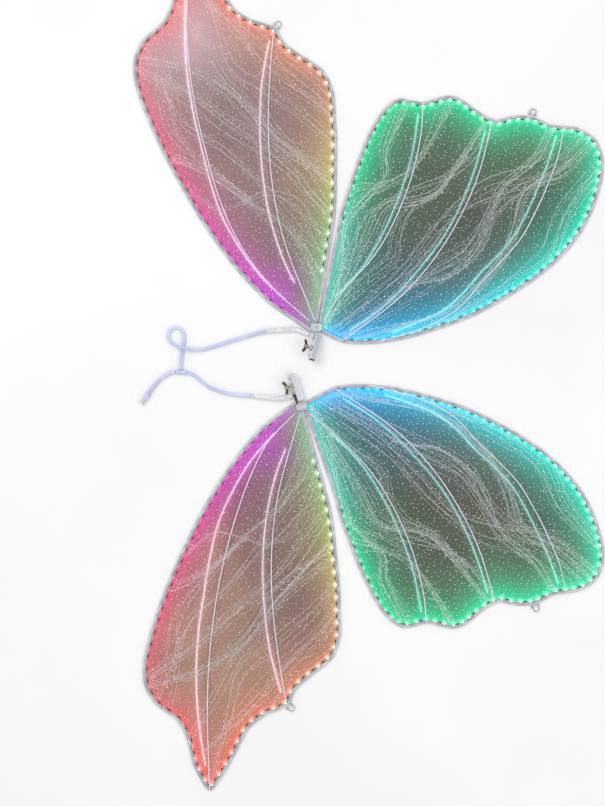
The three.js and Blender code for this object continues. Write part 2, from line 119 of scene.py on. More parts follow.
def new_piece(name, vertices, faces, material, smooth=True, sharp=None):
    """A mesh object at the origin, with its place in its vertices."""
    mesh = bpy.data.meshes.new(name)
    mesh.from_pydata(vertices, [], faces)
    mesh.polygons.foreach_set("use_smooth", np.full(len(mesh.polygons), smooth))
    if sharp is not None:
        mesh.set_sharp_from_angle(angle=np.radians(sharp))
    mesh.materials.append(material)
    mesh.validate()
    piece = bpy.data.objects.new(name, mesh)
    bpy.context.scene.collection.objects.link(piece)
    return piece


def grid_faces(rows, columns):
    """Quads between neighbouring rows and columns, the last column joined to the first, and a
    fan of triangles from each end row to one more vertex at its centre."""
    index = np.arange(rows * columns).reshape(rows, columns)
    turned_on = np.roll(index, -1, axis=1)
    quads = np.stack([index[:-1], turned_on[:-1], turned_on[1:], index[1:]], axis=-1).reshape(-1, 4)
    first, last = rows * columns, rows * columns + 1
    start = np.stack([turned_on[0], index[0], np.full(columns, first)], axis=-1)
    end = np.stack([index[-1], turned_on[-1], np.full(columns, last)], axis=-1)
    return quads.tolist() + start.tolist() + end.tolist()


def surface(name, grid, material, sharp=None):
    """A closed piece over a grid of points: rows along it, columns around it, ends filled."""
    rows, columns, _ = grid.shape
    ends = [grid[0].mean(0), grid[-1].mean(0)]
    vertices = np.vstack([grid.reshape(-1, 3), ends])
    return new_piece(name, vertices, grid_faces(rows, columns), material, sharp=sharp)


def linear(red, green, blue):
    """A display colour from 0 to 255 as the linear values that shaders take."""
    c = np.array([red, green, blue]) / 255
    return (*np.where(c <= 0.04045, c / 12.92, ((c + 0.055) / 1.055) ** 2.4), 1.0)


def build_mottle():
    """A shared surface variation. A broad noise mixes the dark colour into the light one and
    shifts the roughness, and a fine noise gives the height of the grain."""
    group = bpy.data.node_groups.new("mottle", "ShaderNodeTree")
    sockets = [("Vector", "Vector"), ("Light", "Color"), ("Dark", "Color"), ("Patch Scale", "Float"),
               ("Grain Scale", "Float"), ("Roughness", "Float"), ("Spread", "Float")]
    for label, kind in sockets:
        group.interface.new_socket(label, in_out="INPUT", socket_type=f"NodeSocket{kind}")
    for label, kind in [("Color", "Color"), ("Roughness", "Float"), ("Height", "Float")]:
        group.interface.new_socket(label, in_out="OUTPUT", socket_type=f"NodeSocket{kind}")
    nodes, link = group.nodes, group.links.new
    given, result = nodes.new("NodeGroupInput"), nodes.new("NodeGroupOutput")
    patch, grain = nodes.new("ShaderNodeTexNoise"), nodes.new("ShaderNodeTexNoise")
    patch.inputs["Detail"].default_value = 4
    grain.inputs["Detail"].default_value = 3
    for noise, scale in [(patch, "Patch Scale"), (grain, "Grain Scale")]:
        link(given.outputs["Vector"], noise.inputs["Vector"])
        link(given.outputs[scale], noise.inputs["Scale"])
    sharpen = nodes.new("ShaderNodeMapRange")
    sharpen.inputs["From Min"].default_value = 0.35
    sharpen.inputs["From Max"].default_value = 0.65
    link(patch.outputs["Fac"], sharpen.inputs["Value"])
    mix = nodes.new("ShaderNodeMix")
    mix.data_type = "RGBA"
    link(sharpen.outputs["Result"], mix.inputs["Factor"])
    link(given.outputs["Dark"], mix.inputs["A"])
    link(given.outputs["Light"], mix.inputs["B"])
    link(mix.outputs["Result"], result.inputs["Color"])
    centre, shift = nodes.new("ShaderNodeMath"), nodes.new("ShaderNodeMath")
    centre.operation, shift.operation = "SUBTRACT", "MULTIPLY_ADD"
    centre.inputs[1].default_value = 0.5
    link(patch.outputs["Fac"], centre.inputs[0])
    link(centre.outputs[0], shift.inputs[0])
    link(given.outputs["Spread"], shift.inputs[1])
    link(given.outputs["Roughness"], shift.inputs[2])
    link(shift.outputs[0], result.inputs["Roughness"])
    link(grain.outputs["Fac"], result.inputs["Height"])
    return group


mottle = build_mottle()


def add_bump(tree, height, shader, strength, depth):
    bump = tree.nodes.new("ShaderNodeBump")
    bump.inputs["Strength"].default_value = strength
    bump.inputs["Distance"].default_value = depth
    tree.links.new(height, bump.inputs["Height"])
    tree.links.new(bump.outputs["Normal"], shader.inputs["Normal"])


def mottled(name, light, dark, patch, grain, roughness, spread, bump, **values):
    """A finish with the mottle group behind its colour, roughness and bump. patch and grain are
    the sizes of the two noises in metres, bump is the grain's depth in metres, and the values
    are set on the shader's sockets of the same names."""
    material = bpy.data.materials.new(name)
    material.use_nodes = True
    tree = material.node_tree
    shader = tree.nodes["Principled BSDF"]
    place = tree.nodes.new("ShaderNodeTexCoord")
    group = tree.nodes.new("ShaderNodeGroup")
    group.node_tree = mottle
    group.inputs["Light"].default_value = linear(*light)
    group.inputs["Dark"].default_value = linear(*dark)
    group.inputs["Patch Scale"].default_value = 1 / patch
    group.inputs["Grain Scale"].default_value = 1 / grain
    group.inputs["Roughness"].default_value = roughness
    group.inputs["Spread"].default_value = spread
    tree.links.new(place.outputs["Object"], group.inputs["Vector"])
    tree.links.new(group.outputs["Color"], shader.inputs["Base Color"])
    tree.links.new(group.outputs["Roughness"], shader.inputs["Roughness"])
    add_bump(tree, group.outputs["Height"], shader, 0.6, bump)
    for socket, value in values.items():
        shader.inputs[socket.replace("_", " ")].default_value = value
    return material


LEAD_D = 6.2
SLEEVE_D = 9.4
SPLICE_D = 8.8
PLUG_D = 9.6
LEAD_REST_Z = LEAD_D / 2 + 0.35
CROSSING_Z = 2.1 * LEAD_D
RISING_Z = 1.3 * LEAD_D
UPPER_LEAD = [
    (-184.8, 69.6, SLEEVE_D / 2), (-201.7, 65.3, 3.9), (-222.7, 59.4), (-242.7, 53.2), (-262.7, 46.8),
    (-282.7, 40.8), (-301.7, 36.2), (-318.7, 36.6, RISING_Z), (-334.2, 40, CROSSING_Z),
    (-347.7, 44.2, RISING_Z), (-358.2, 52.5), (-360.7, 64.5), (-353.2, 74.5), (-341.2, 75.5),
    (-333.2, 67), (-332.2, 55), (-334.2, 40), (-336.7, 23), (-338.1, 9, 3.9),
    (-338.2, 0.9, SPLICE_D / 2),
]
LOWER_LEAD = [
    (-212.9, -46.6, SLEEVE_D / 2), (-229.7, -46.2, 3.9), (-248.7, -43.4), (-266.7, -39), (-284.7, -32.2),
    (-299.7, -21.6), (-310.7, -11.8), (-318.7, -7, 3.9), (-328.1, -4.9, SPLICE_D / 2),
]
TAIL_LEAD = [
    (-348.1, -3.5, SPLICE_D / 2), (-356.7, -5.4, 3.9), (-366.7, -10.8), (-376.7, -18.6), (-386.7, -29.6),
    (-393.3, -39, PLUG_D / 2),
]
lead_plastic = mottled("lead_plastic", (208, 217, 240), (186, 190, 226), 0.05, 0.0009, 0.42, 0.12,
                       0.00005, Coat_Weight=0.15, Subsurface_Weight=0.06)


def lead(name, route):
    """The lead as a tube on its route, and the route's own even points."""
    points = np.array([point if len(point) == 3 else (*point, LEAD_REST_Z) for point in route]) * MM
    steps = int(np.linalg.norm(np.diff(points, axis=0), axis=1).sum() / (2 * MM))
    path = through(points, steps)
    return surface(name, tube(path, LEAD_D / 2 * MM, 20), lead_plastic), path


def length_of(path):
    return float(np.linalg.norm(np.diff(path, axis=0), axis=1).sum())


def fixed_to(piece, body, node=None):
    """The piece moves with the body and may stand for a CAD node."""
    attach(piece, body)
    if node:
        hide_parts(node)


upper, upper_path = lead("upper_lead_cable", UPPER_LEAD)
lower, lower_path = lead("lower_lead_cable", LOWER_LEAD)
tail, tail_path = lead("tail_lead_cable", TAIL_LEAD)
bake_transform(upper)
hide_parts("upper_lead")
fixed_to(lower, "right_half", "lower_lead")
fixed_to(tail, "right_half", "tail_lead")


# ---------------------------------------------------------------- splice and plug
# The three leads meet in a shrunk sleeve over a soldered joint. The tail ends in a moulded
# barrel plug, with a ribbed relief behind it and a nickel barrel with a bore in front.
def turned(name, profile, start, axis, material, segments=40, sharp=35):
    """A piece turned about an axis, from (distance along it, radius) pairs in millimetres."""
    along, radius = np.array(profile, float).T * MM
    axis = unit(np.asarray(axis, float))
    level = unit(np.cross(UP, axis))
    rise = np.cross(axis, level)
    angle = np.arange(segments) * 2 * np.pi / segments
    around = np.cos(angle)[:, None] * level + np.sin(angle)[:, None] * rise
    centre = np.asarray(start, float) + along[:, None] * axis
    return surface(name, centre[:, None] + radius[:, None, None] * around, material, sharp)


shrink_sleeve = mottled("shrink_sleeve", (208, 215, 236), (186, 190, 222), 0.008, 0.0012, 0.5, 0.2,
                        0.0001, Coat_Weight=0.1)
SPLICE_LENGTH = 20
splice_start = lower_path[-1]
splice_axis = tail_path[0] - lower_path[-1]
splice_run = np.linspace(0, 1, 40)
splice_swell = np.clip(np.minimum(splice_run, 1 - splice_run) / 0.16, 0, 1) ** 0.5
splice_lump = 0.22 * np.sin(17 * splice_run) * np.sin(np.pi * splice_run)
splice_profile = np.stack([
    1.1 + splice_run * (SPLICE_LENGTH - 2.2), 3.2 + (SPLICE_D / 2 - 3.8) * splice_swell + splice_lump,
], axis=1)
splice = turned("splice_sleeve", splice_profile, splice_start, splice_axis, shrink_sleeve, sharp=None)
fixed_to(splice, "right_half", "lead_splice")

PLUG_LENGTH = 18
BARREL_D, BARREL_LENGTH = 5.5, 9
plug_start = tail_path[-1]
plug_axis = (tail_path[-1] - tail_path[-2]) * (1, 1, 0)
relief = [(1.1, 3.3)]
for rib in range(4):
    x = 1.4 + 1.55 * rib
    relief += [(x, 3.5 + 0.2 * rib), (x + 0.15, 3.7 + 0.2 * rib), (x + 0.8, 3.75 + 0.2 * rib),
               (x + 0.95, 3.4 + 0.2 * rib)]
plug_profile = [*relief, (7.7, 4.0), (8.3, 4.3), (15, 4.1), (17.2, 3.7), (17.8, 3.4), (18, 3.1),
                (18, 2.2)]
plug_body = turned("plug_moulding", plug_profile, plug_start, plug_axis, lead_plastic)
nickel = mottled("nickel", (206, 206, 202), (178, 176, 170), 0.006, 0.0005, 0.24, 0.2, 0.00002,
                 Metallic=1.0)
barrel_from, barrel_to = PLUG_LENGTH + 0.3, PLUG_LENGTH + 0.3 + BARREL_LENGTH
barrel_profile = [
    (barrel_from, 2.0), (barrel_from, BARREL_D / 2), (barrel_from + 2.2, BARREL_D / 2),
    (barrel_from + 2.4, 2.6), (barrel_from + 2.9, 2.6), (barrel_from + 3.1, BARREL_D / 2),
    (barrel_to - 0.4, BARREL_D / 2), (barrel_to, 2.45), (barrel_to, 1.35), (barrel_to - 0.3, 1.1),
    (barrel_to - 7, 1.1), (barrel_to - 7, 0.2),
]
plug_barrel = turned("plug_barrel_shell", barrel_profile, plug_start, plug_axis, nickel)
fixed_to(plug_body, "right_half", "plug_body")
fixed_to(plug_barrel, "right_half", "plug_barrel")


# ---------------------------------------------------------------- wing frames
# Each wing's edge is one bent steel wire in a pale grey sleeve of woven tape, whose two ends
# run in side by side at the root. The sleeve is slightly lumpy.
WIRE_D = 5.0
WINGS = [(half, kind) for half in HALF_SIDES for kind in ("fore", "hind")]
WIRE_STEPS, WIRE_SIDES, WIRE_LUMP = 700, 12, 0.022
HEARTS = {"fore": (0.5, 0.1), "hind": (0.5, -0.02)}


def node_points(name):
    """A CAD node's own corners, each once."""
    mesh = frame["nodes"][name].data
    points = np.zeros(3 * len(mesh.vertices))
    mesh.vertices.foreach_get("co", points)
    return np.unique(np.round(points.reshape(-1, 3), 6), axis=0)


def rings_along(name, sides):
    """The centres of a CAD tube's rings, sorted along the line between its ends."""
    points = node_points(name)
    axis = np.linalg.svd(points - points.mean(0), full_matrices=False)[2][0]
    ordered = points[np.argsort(points @ axis)]
    return ordered.reshape(-1, sides, 3).mean(1)


def wing_heart(half, kind, root, points):
    """A point inside the wing that sees all of its edge: shares of the way from the root to the
    farthest point, along that line and square to it."""
    flat = points[:, :2]
    tip = flat[np.argmax(np.linalg.norm(flat - root, axis=1))] - root
    along, across = HEARTS[kind]
    square = HALF_SIDES[half] * np.array([-tip[1], tip[0]])
    return root + along * tip + across * square


def wire_line(half, kind):
    """The frame wire's centre line from one end at the root round to the other: the middles of
    its rings' widest corner pairs, in order of their angle about the wing's heart."""
    points = node_points(f"{half}_{kind}_frame")
    root = np.array(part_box(f"{half}_root_gusset")).mean(0)[:2]
    heart = wing_heart(half, kind, root, points)
    waist = points[np.abs(points[:, 2] - WIRE_D / 2 * MM) < 1e-5][:, :2]
    reach = WIRE_D / np.cos(np.pi / 6) * MM
    apart = np.linalg.norm(waist[:, None] - waist[None], axis=2)
    first, second = np.nonzero(np.triu(np.abs(apart - reach) < 0.05 * MM))
    middles = (waist[first] + waist[second]) / 2
    angle = np.arctan2(*(middles - heart).T[::-1])
    ordered = middles[np.argsort(angle)]
    near_root = np.linalg.norm(ordered - root, axis=1)
    start = np.argmin(near_root + np.roll(near_root, 1))
    ordered = np.roll(ordered, -start, axis=0)
    if HALF_SIDES[half] < 0:
        ordered = ordered[::-1]
    line = np.column_stack([ordered, np.full(len(ordered), WIRE_D / 2 * MM)])
    return root, heart, line


def lumps(count, sides, amount, grain):
    """Seeded smooth noise on a rows x sides grid that joins up around: random rows blurred
    along and around."""
    noise = rng.normal(size=(count, sides))
    kernel = np.hanning(grain + 2)
    noise = np.apply_along_axis(lambda row: np.convolve(row, kernel / kernel.sum(), "same"), 0, noise)
    noise = noise + np.roll(noise, 1, axis=1) + np.roll(noise, -1, axis=1)
    return amount * noise / noise.std()


sleeved_wire = mottled("sleeved_wire", (206, 207, 214), (164, 165, 176), 0.012, 0.0011, 0.5, 0.25,
                       0.00012, Sheen_Weight=0.15)
wing_lines = {}
for half, kind in WINGS:
    root, heart, line = wire_line(half, kind)
    path = through(line, WIRE_STEPS)
    wing_lines[half, kind] = (root, heart, path)
    radius = WIRE_D / 2 * MM * (1 + lumps(WIRE_STEPS, WIRE_SIDES, WIRE_LUMP, 9))
    grid = tube(path, radius, WIRE_SIDES)
    wire = surface(f"{half}_{kind}_sleeved_wire", grid, sleeved_wire)
    fixed_to(wire, f"{half}_half", f"{half}_{kind}_frame")


# ---------------------------------------------------------------- strips and lamps
# A white flexible circuit strip stands on edge inside each frame, with its lamps facing the film.
# Black driver chips with their resistors sit in every gap between the hindwings' lamps and in
# every second gap between the forewings', and every third gap has a copper cut mark.
STRIP_INSET = 3.44
STRIP_HEIGHT, STRIP_THICKNESS = 4.4, 0.5
STRIP_REACH, STRIP_STEPS = 5.2, 520
LAMP_PITCH = {"fore": 16.7, "hind": 22.5}
CHIP_EVERY, MARK_EVERY = {"fore": 2, "hind": 1}, 3
LENS_SEAT, CASE_SEAT, CHIP_SEAT, MARK_SEAT = (1.1, 4.75), (0.95, 2.9), (1.4, 3.0), (0.35, 1.2)
RESISTOR_GAP = 3.6
EDGE_PICKS = 170
LAMP_SIGHT = {
    "fore": [(0, 0.3), (0.3, 0.55), (0.36, 1), (0.74, 1), (0.8, 0.5), (1, 0.3)],
    "hind": [(0, 1), (0.5, 1), (0.54, 0.08), (1, 0.08)],
}
LAMP_COLOURS = {
    # Each stop: its share of the strip's length, a display colour, and how far it lights the film.
    "fore": [(0, 0, 165, 235, 1.5), (0.05, 0, 180, 245, 1.4), (0.12, 0, 200, 245, 1.1),
             (0.2, 0, 220, 235, 1), (0.33, 0, 236, 208, 0.95), (0.45, 0, 236, 185, 0.85),
             (0.55, 0, 230, 165, 0.95), (0.8, 0, 226, 152, 0.95), (0.93, 30, 222, 160, 0.8),
             (1, 60, 210, 185, 0.8)],
    "hind": [(0, 130, 215, 160, 0.6), (0.06, 165, 235, 130, 0.5), (0.13, 235, 235, 120, 0.45),
             (0.2, 250, 195, 120, 0.42), (0.27, 255, 150, 100, 0.5), (0.42, 255, 115, 90, 0.75),
             (0.52, 255, 95, 90, 0.8), (0.62, 255, 100, 125, 0.45), (0.74, 255, 60, 130, 0.6),
             (0.86, 240, 45, 185, 0.72), (0.95, 215, 50, 220, 0.85), (1, 195, 65, 215, 0.8)],
}


def inset(line, distance):
    """A flat line moved sideways to its left, square to itself."""
    tangent = unit(np.gradient(line[:, :2], axis=0))
    moved = line.copy()
    moved[:, 0] -= tangent[:, 1] * distance
    moved[:, 1] += tangent[:, 0] * distance
    return moved


def stretch_with(line, node, reach):
    """The part of a line that runs beside a CAD node."""
    corners = node_points(node)[:, :2]
    distance = np.linalg.norm(line[:, None, :2] - corners[None], axis=2).min(1)
    beside = np.nonzero(distance < reach)[0]
    return line[beside[0]:beside[-1] + 1]


def lamp_light(kind, share):
    """The lamps' linear colours and their reach into the film, between the stops given."""
    stops = np.array(LAMP_COLOURS[kind], float)
    display = np.stack([np.interp(share, stops[:, 0], stops[:, c]) for c in (1, 2, 3)], axis=-1) / 255
    return display**2.2, np.interp(share, stops[:, 0], stops[:, 4])


def stamped(name, template, places, levels, material, scale=1.0):
    """Copies of a small template, each at its place with its x axis along its level."""
    corners, faces = template
    beside = np.cross(UP, levels)
    axes = np.stack([levels, beside, np.broadcast_to(UP, levels.shape)], axis=1)
    axes = axes * np.reshape(scale, (-1, 1, 1))
    vertices = places[:, None] + np.einsum("vk,nkj->nvj", corners, axes)
    offsets = np.arange(len(places))[:, None, None] * len(corners)
    tiled = []
    for size in sorted({len(face) for face in faces}):
        same = np.array([face for face in faces if len(face) == size])
        tiled += (same[None] + offsets).reshape(-1, size).tolist()
    return new_piece(name, vertices.reshape(-1, 3), tiled, material, sharp=30)


def bevelled_box(length, width, height, bevel):
    """A small box on its bottom face, with every edge cut back, as corners and faces."""
    shape = bmesh.new()
    bmesh.ops.create_cube(shape, size=1)
    bmesh.ops.scale(shape, vec=(length, width, height), verts=shape.verts)
    bmesh.ops.translate(shape, vec=(0, 0, height / 2), verts=shape.verts)
    bmesh.ops.bevel(shape, geom=shape.edges, offset=bevel, segments=1, affect="EDGES")
    bmesh.ops.recalc_face_normals(shape, faces=shape.faces)
    corners = np.array([vertex.co[:] for vertex in shape.verts]) * MM
    faces = [[vertex.index for vertex in face.verts] for face in shape.faces]
    shape.free()
    return corners, faces


def dome(radius, height, rows=3, columns=10):
    """A closed dome: rows of a quarter ellipse turned about Z, on a flat bottom."""
    rise = np.linspace(0, 0.46 * np.pi, rows)
    angle = np.arange(columns) * 2 * np.pi / columns
    grid = np.stack([
        np.cos(rise)[:, None] * np.cos(angle) * radius, np.cos(rise)[:, None] * np.sin(angle) * radius,
        np.broadcast_to(np.sin(rise)[:, None] * height, (rows, columns)),
    ], axis=-1) * MM
    corners = np.vstack([grid.reshape(-1, 3), [0, 0, 0], [0, 0, height * MM]])
    return corners, grid_faces(rows, columns)


def set_colours(piece, name, colours):
    """A linear colour for each vertex, kept as an attribute that the material reads."""
    layer = piece.data.color_attributes.new(name, "FLOAT_COLOR", "POINT")
    layer.data.foreach_set("color", np.column_stack([colours, np.ones(len(colours))]).ravel())


def glowing(name, strength, **values):
    """A finish lit from inside, whose colour and glow come from its own vertex colours."""
    material = bpy.data.materials.new(name)
    material.use_nodes = True
    tree = material.node_tree
    shader = tree.nodes["Principled BSDF"]
    for attribute, socket in [("tint", "Base Color"), ("glow", "Emission Color")]:
        node = tree.nodes.new("ShaderNodeAttribute")
        node.attribute_name = attribute
        tree.links.new(node.outputs["Color"], shader.inputs[socket])
    shader.inputs["Emission Strength"].default_value = strength
    for socket, value in values.items():
        shader.inputs[socket.replace("_", " ")].default_value = value
    return material


circuit_strip = mottled("circuit_strip", (238, 236, 226), (214, 206, 186), 0.004, 0.0008, 0.45, 0.2,
                        0.00003)
chip_black = mottled("chip_black", (34, 34, 36), (18, 18, 20), 0.002, 0.0004, 0.4, 0.2, 0.00002)
cut_mark_copper = mottled("cut_mark_copper", (206, 150, 96), (170, 118, 74), 0.002, 0.0005, 0.35, 0.2,
                          0.00001, Metallic=1.0)
lamp_case = mottled("lamp_case", (240, 240, 236), (226, 226, 220), 0.003, 0.0006, 0.4, 0.1, 0.00001)
lamp_lens = glowing("lamp_lens", 1.5, Roughness=0.25)
LAMP_CASE = bevelled_box(3.4, 1.3, 1.9, 0.2)
LAMP_LENS = dome(1.9, 0.75)
DRIVER_CHIP = bevelled_box(4.2, 2.2, 1.9, 0.2)
RESISTOR = bevelled_box(1.9, 0.7, 0.7, 0.1)
CUT_MARK = bevelled_box(1.6, 0.16, 2.6, 0.05)
lamps, edge_lights = {}, {}
for half, kind in WINGS:
    side = HALF_SIDES[half]
    _, _, path = wing_lines[half, kind]
    beside = stretch_with(path, f"{half}_{kind}_led_strip", STRIP_REACH * MM)
    strip_line = evenly(inset(beside, side * STRIP_INSET * MM), STRIP_STEPS)
    tangent = unit(np.gradient(strip_line, axis=0))
    inwards = side * np.cross(UP, tangent)
    thick, tall = STRIP_THICKNESS / 2 * MM, STRIP_HEIGHT / 2 * MM
    corners = np.array([(-thick, -tall), (thick, -tall), (thick, tall), (-thick, tall)])[::side]
    grid = (strip_line[:, None] + corners[None, :, :1] * inwards[:, None]
            + corners[None, :, 1:] * UP)
    grid = grid[:, ::-1]
    strip = surface(f"{half}_{kind}_circuit_strip", grid, circuit_strip, sharp=40)
    fixed_to(strip, f"{half}_half", f"{half}_{kind}_led_strip")

    run = length_of(strip_line)
    count = int(run / (LAMP_PITCH[kind] * MM))
    share = (np.arange(count) + 0.5) / count
    gaps = np.arange(1, count) / count
    colours, _ = lamp_light(kind, share)

    def on_strip(at, seat):
        """Places at shares of the strip's length, a seat's millimetres out of the strip's middle
        and above the ground, and the strip's direction at each."""
        out, height = seat
        rows = (at * (STRIP_STEPS - 1)).round().astype(int)
        place = strip_line[rows] + inwards[rows] * out * MM
        place[:, 2] = height * MM
        return place, tangent[rows] * side

    # A lamp that is seen from its side is smaller, deeper in colour and dimmer.
    lens_place, level = on_strip(share, LENS_SEAT)
    case_place, _ = on_strip(share, CASE_SEAT)
    case = stamped(f"{half}_{kind}_lamp_cases", LAMP_CASE, case_place, level, lamp_case)
    sight = np.interp(share, *np.array(LAMP_SIGHT[kind]).T)
    lens = stamped(f"{half}_{kind}_lamp_lenses", LAMP_LENS, lens_place, level, lamp_lens,
                   scale=0.62 + 0.38 * sight)
    white_hot = 1 - (1 - colours) * (0.95 - 0.45 * sight[:, None])
    set_colours(lens, "tint", np.repeat(white_hot, len(LAMP_LENS[0]), axis=0))
    bright = white_hot * (0.15 + 0.85 * sight[:, None])
    set_colours(lens, "glow", np.repeat(bright, len(LAMP_LENS[0]), axis=0))
    chip_place, chip_level = on_strip(gaps[::CHIP_EVERY[kind]], CHIP_SEAT)
    chips = stamped(f"{half}_{kind}_driver_chips", DRIVER_CHIP, chip_place, chip_level, chip_black)
    aside = chip_level * RESISTOR_GAP * MM
    beside_chip = np.concatenate([chip_place + aside, chip_place - aside])
    resistors = stamped(f"{half}_{kind}_resistors", RESISTOR, beside_chip,
                        np.concatenate([chip_level, chip_level]), chip_black)
    mark_place, mark_level = on_strip(gaps[::MARK_EVERY], MARK_SEAT)
    copper = stamped(f"{half}_{kind}_cut_marks", CUT_MARK, mark_place, mark_level, cut_mark_copper)
    for piece, slot in [(case, "led_strip"), (lens, "led_lens"), (chips, "chip_black"),
                        (resistors, "chip_black"), (copper, "led_strip")]:
        fixed_to(piece, f"{half}_half")
    lamps[half, kind] = (lens_place[:, :2], colours, sight)

    # Beyond the strip's ends, the frame's edge passes on the light of its end lamps.
    run_along = np.concatenate([[0], np.cumsum(np.linalg.norm(np.diff(path, axis=0), axis=1))])
    first, last = [np.linalg.norm(path - end, axis=1).argmin() for end in beside[[0, -1]]]
    frame_share = (run_along - run_along[first]) / (run_along[last] - run_along[first])
    picks = np.linspace(0, len(path) - 1, EDGE_PICKS).astype(int)
    edge_lights[half, kind] = (path[picks, :2], *lamp_light(kind, frame_share[picks]))


# ---------------------------------------------------------------- film
# One sheet of glossy smoke-tinted film fills each wing, stretched between the strip and the
# ribs. It is slightly baggy, and the lamps' light runs into it from the edge.
FILM_INSET, EDGE_SLACK = 0.8, 0.97
FILM_Z, FILM_THICKNESS = 2.5, 0.4
FILM_SAG, FILM_FADE = 0.9, 30
FILM_RINGS, FILM_SPOKES = 44, 560
FILM_TINTS = {
    ("left", "fore"): [(250, 200, 400, 88, 86, 74), (150, 250, 90, 72, 92, 76),
                       (430, 215, 60, 60, 84, 70), (420, 320, 60, 92, 98, 70),
                       (130, 60, 80, 48, 98, 114)],
    ("right", "fore"): [(250, 200, 400, 90, 84, 70), (150, 250, 90, 74, 86, 70),
                        (430, 215, 60, 66, 84, 68), (400, 330, 60, 84, 96, 72),
                        (130, 60, 80, 50, 96, 116)],
    ("left", "hind"): [(-120, 350, 400, 156, 124, 122), (-130, 380, 90, 140, 110, 113),
                       (-60, 520, 70, 178, 138, 124), (0, 300, 60, 172, 136, 116),
                       (-235, 540, 75, 205, 172, 182), (-60, 160, 70, 134, 108, 110),
                       (-55, 95, 30, 176, 70, 172)],
    ("right", "hind"): [(-120, 350, 400, 158, 124, 112), (-70, 300, 75, 120, 92, 92),
                        (-45, 400, 60, 132, 98, 100), (-190, 330, 80, 176, 138, 116),
                        (-170, 500, 110, 182, 142, 118), (-90, 150, 60, 122, 92, 100),
                        (-55, 95, 30, 170, 70, 168)],
}
DRAWN_ROOT = (0, 10.4)
DRAWN_TIP = {"fore": (498.1, 349.5), "hind": (-227.5, 688.2)}
GLOW_REACH = {"fore": (27, 65), "hind": (23, 50)}
GLOW_LEVELS = (0.8, 0.1)
HUE_PULL, HOT_SPOT = 12, 4


def to_wing(points, half, kind):
    """Drawn [x, out] millimetres to the wing's own place: turned and scaled so that the drawn
    root and tip fall on the wing's root and farthest point, and mirrored for the right half."""
    root, _, path = wing_lines[half, kind]
    flat = path[:, :2]
    tip = flat[np.argmax(np.linalg.norm(flat - root, axis=1))] - root
    drawn = np.asarray(points, float) - DRAWN_ROOT
    drawn = drawn[..., 0] + 1j * drawn[..., 1]
    drawn_tip = complex(*np.subtract(DRAWN_TIP[kind], DRAWN_ROOT))
    if HALF_SIDES[half] < 0:
        drawn, drawn_tip = np.conj(drawn), np.conj(drawn_tip)
    moved = drawn * complex(*tip) / drawn_tip
    return root + np.stack([moved.real, moved.imag], axis=-1)


def film_height(flat, edge_distance):
    """The film's middle height: level at the edge, and up to FILM_SAG more inside, by a sum of
    four slow waves in set directions."""
    waves = np.array([(38, 17), (-23, 49), (61, -34), (19, 71)], float)
    phases = (flat @ waves.T) + (0.4, 1.9, 3.1, 5.0)
    swell = 0.5 + 0.5 * np.tanh(np.sin(phases) @ (0.5, 0.4, 0.35, 0.3))
    fade = np.clip(edge_distance / (FILM_FADE * MM), 0, 1)
    return (FILM_Z + FILM_SAG * swell * fade**2 * (3 - 2 * fade)) * MM


def nearest(flat, line):
    """Each point's distance to the nearest of a line's points, every third one tried."""
    return np.linalg.norm(flat[:, None] - line[None, ::3, :2], axis=2).min(1)


def film_light(half, kind, flat):
    """The film's own tint, the lamps' light in it and the distance from the strip. The tint
    blends round soft centres. The light takes the colour of the nearest stretch of edge and
    falls off from it by two exponentials, with a small hot spot beside each lamp."""
    place, colours, sight = lamps[half, kind]
    edge_place, edge_colours, reach = edge_lights[half, kind]
    tints = np.array(FILM_TINTS[half, kind], float)
    centres = to_wing(tints[:, :2], half, kind)
    gaps = np.linalg.norm(flat[:, None] - centres[None], axis=2)
    weight = np.exp(-(gaps / (tints[:, 2] * MM)) ** 2) * (1, *[2.5] * (len(tints) - 1))
    tint = (weight @ (tints[:, 3:] / 255) ** 2.2) / weight.sum(1, keepdims=True)
    distance = nearest(flat, wing_lines[half, kind][2]) - STRIP_INSET * MM
    apart = np.linalg.norm(flat[:, None] - edge_place[None], axis=2)
    pull = np.exp(-(apart - apart.min(1, keepdims=True)) / (HUE_PULL * MM))
    pull /= pull.sum(1, keepdims=True)
    hue = pull @ edge_colours
    falls = np.exp(-distance[:, None] / (np.array(GLOW_REACH[kind]) * MM))
    level = falls @ GLOW_LEVELS
    level = np.minimum(level * (pull @ reach), 1)
    spots = np.exp(-(np.linalg.norm(flat[:, None] - place[None], axis=2) / (HOT_SPOT * MM)) ** 2)
    hot = spots @ (sight[:, None] * (0.5 + 0.5 * colours))
    tint = tint * (1 - np.minimum(0.85, 1.3 * level))[:, None]
    return tint, hue * level[:, None] + 0.8 * hot, distance


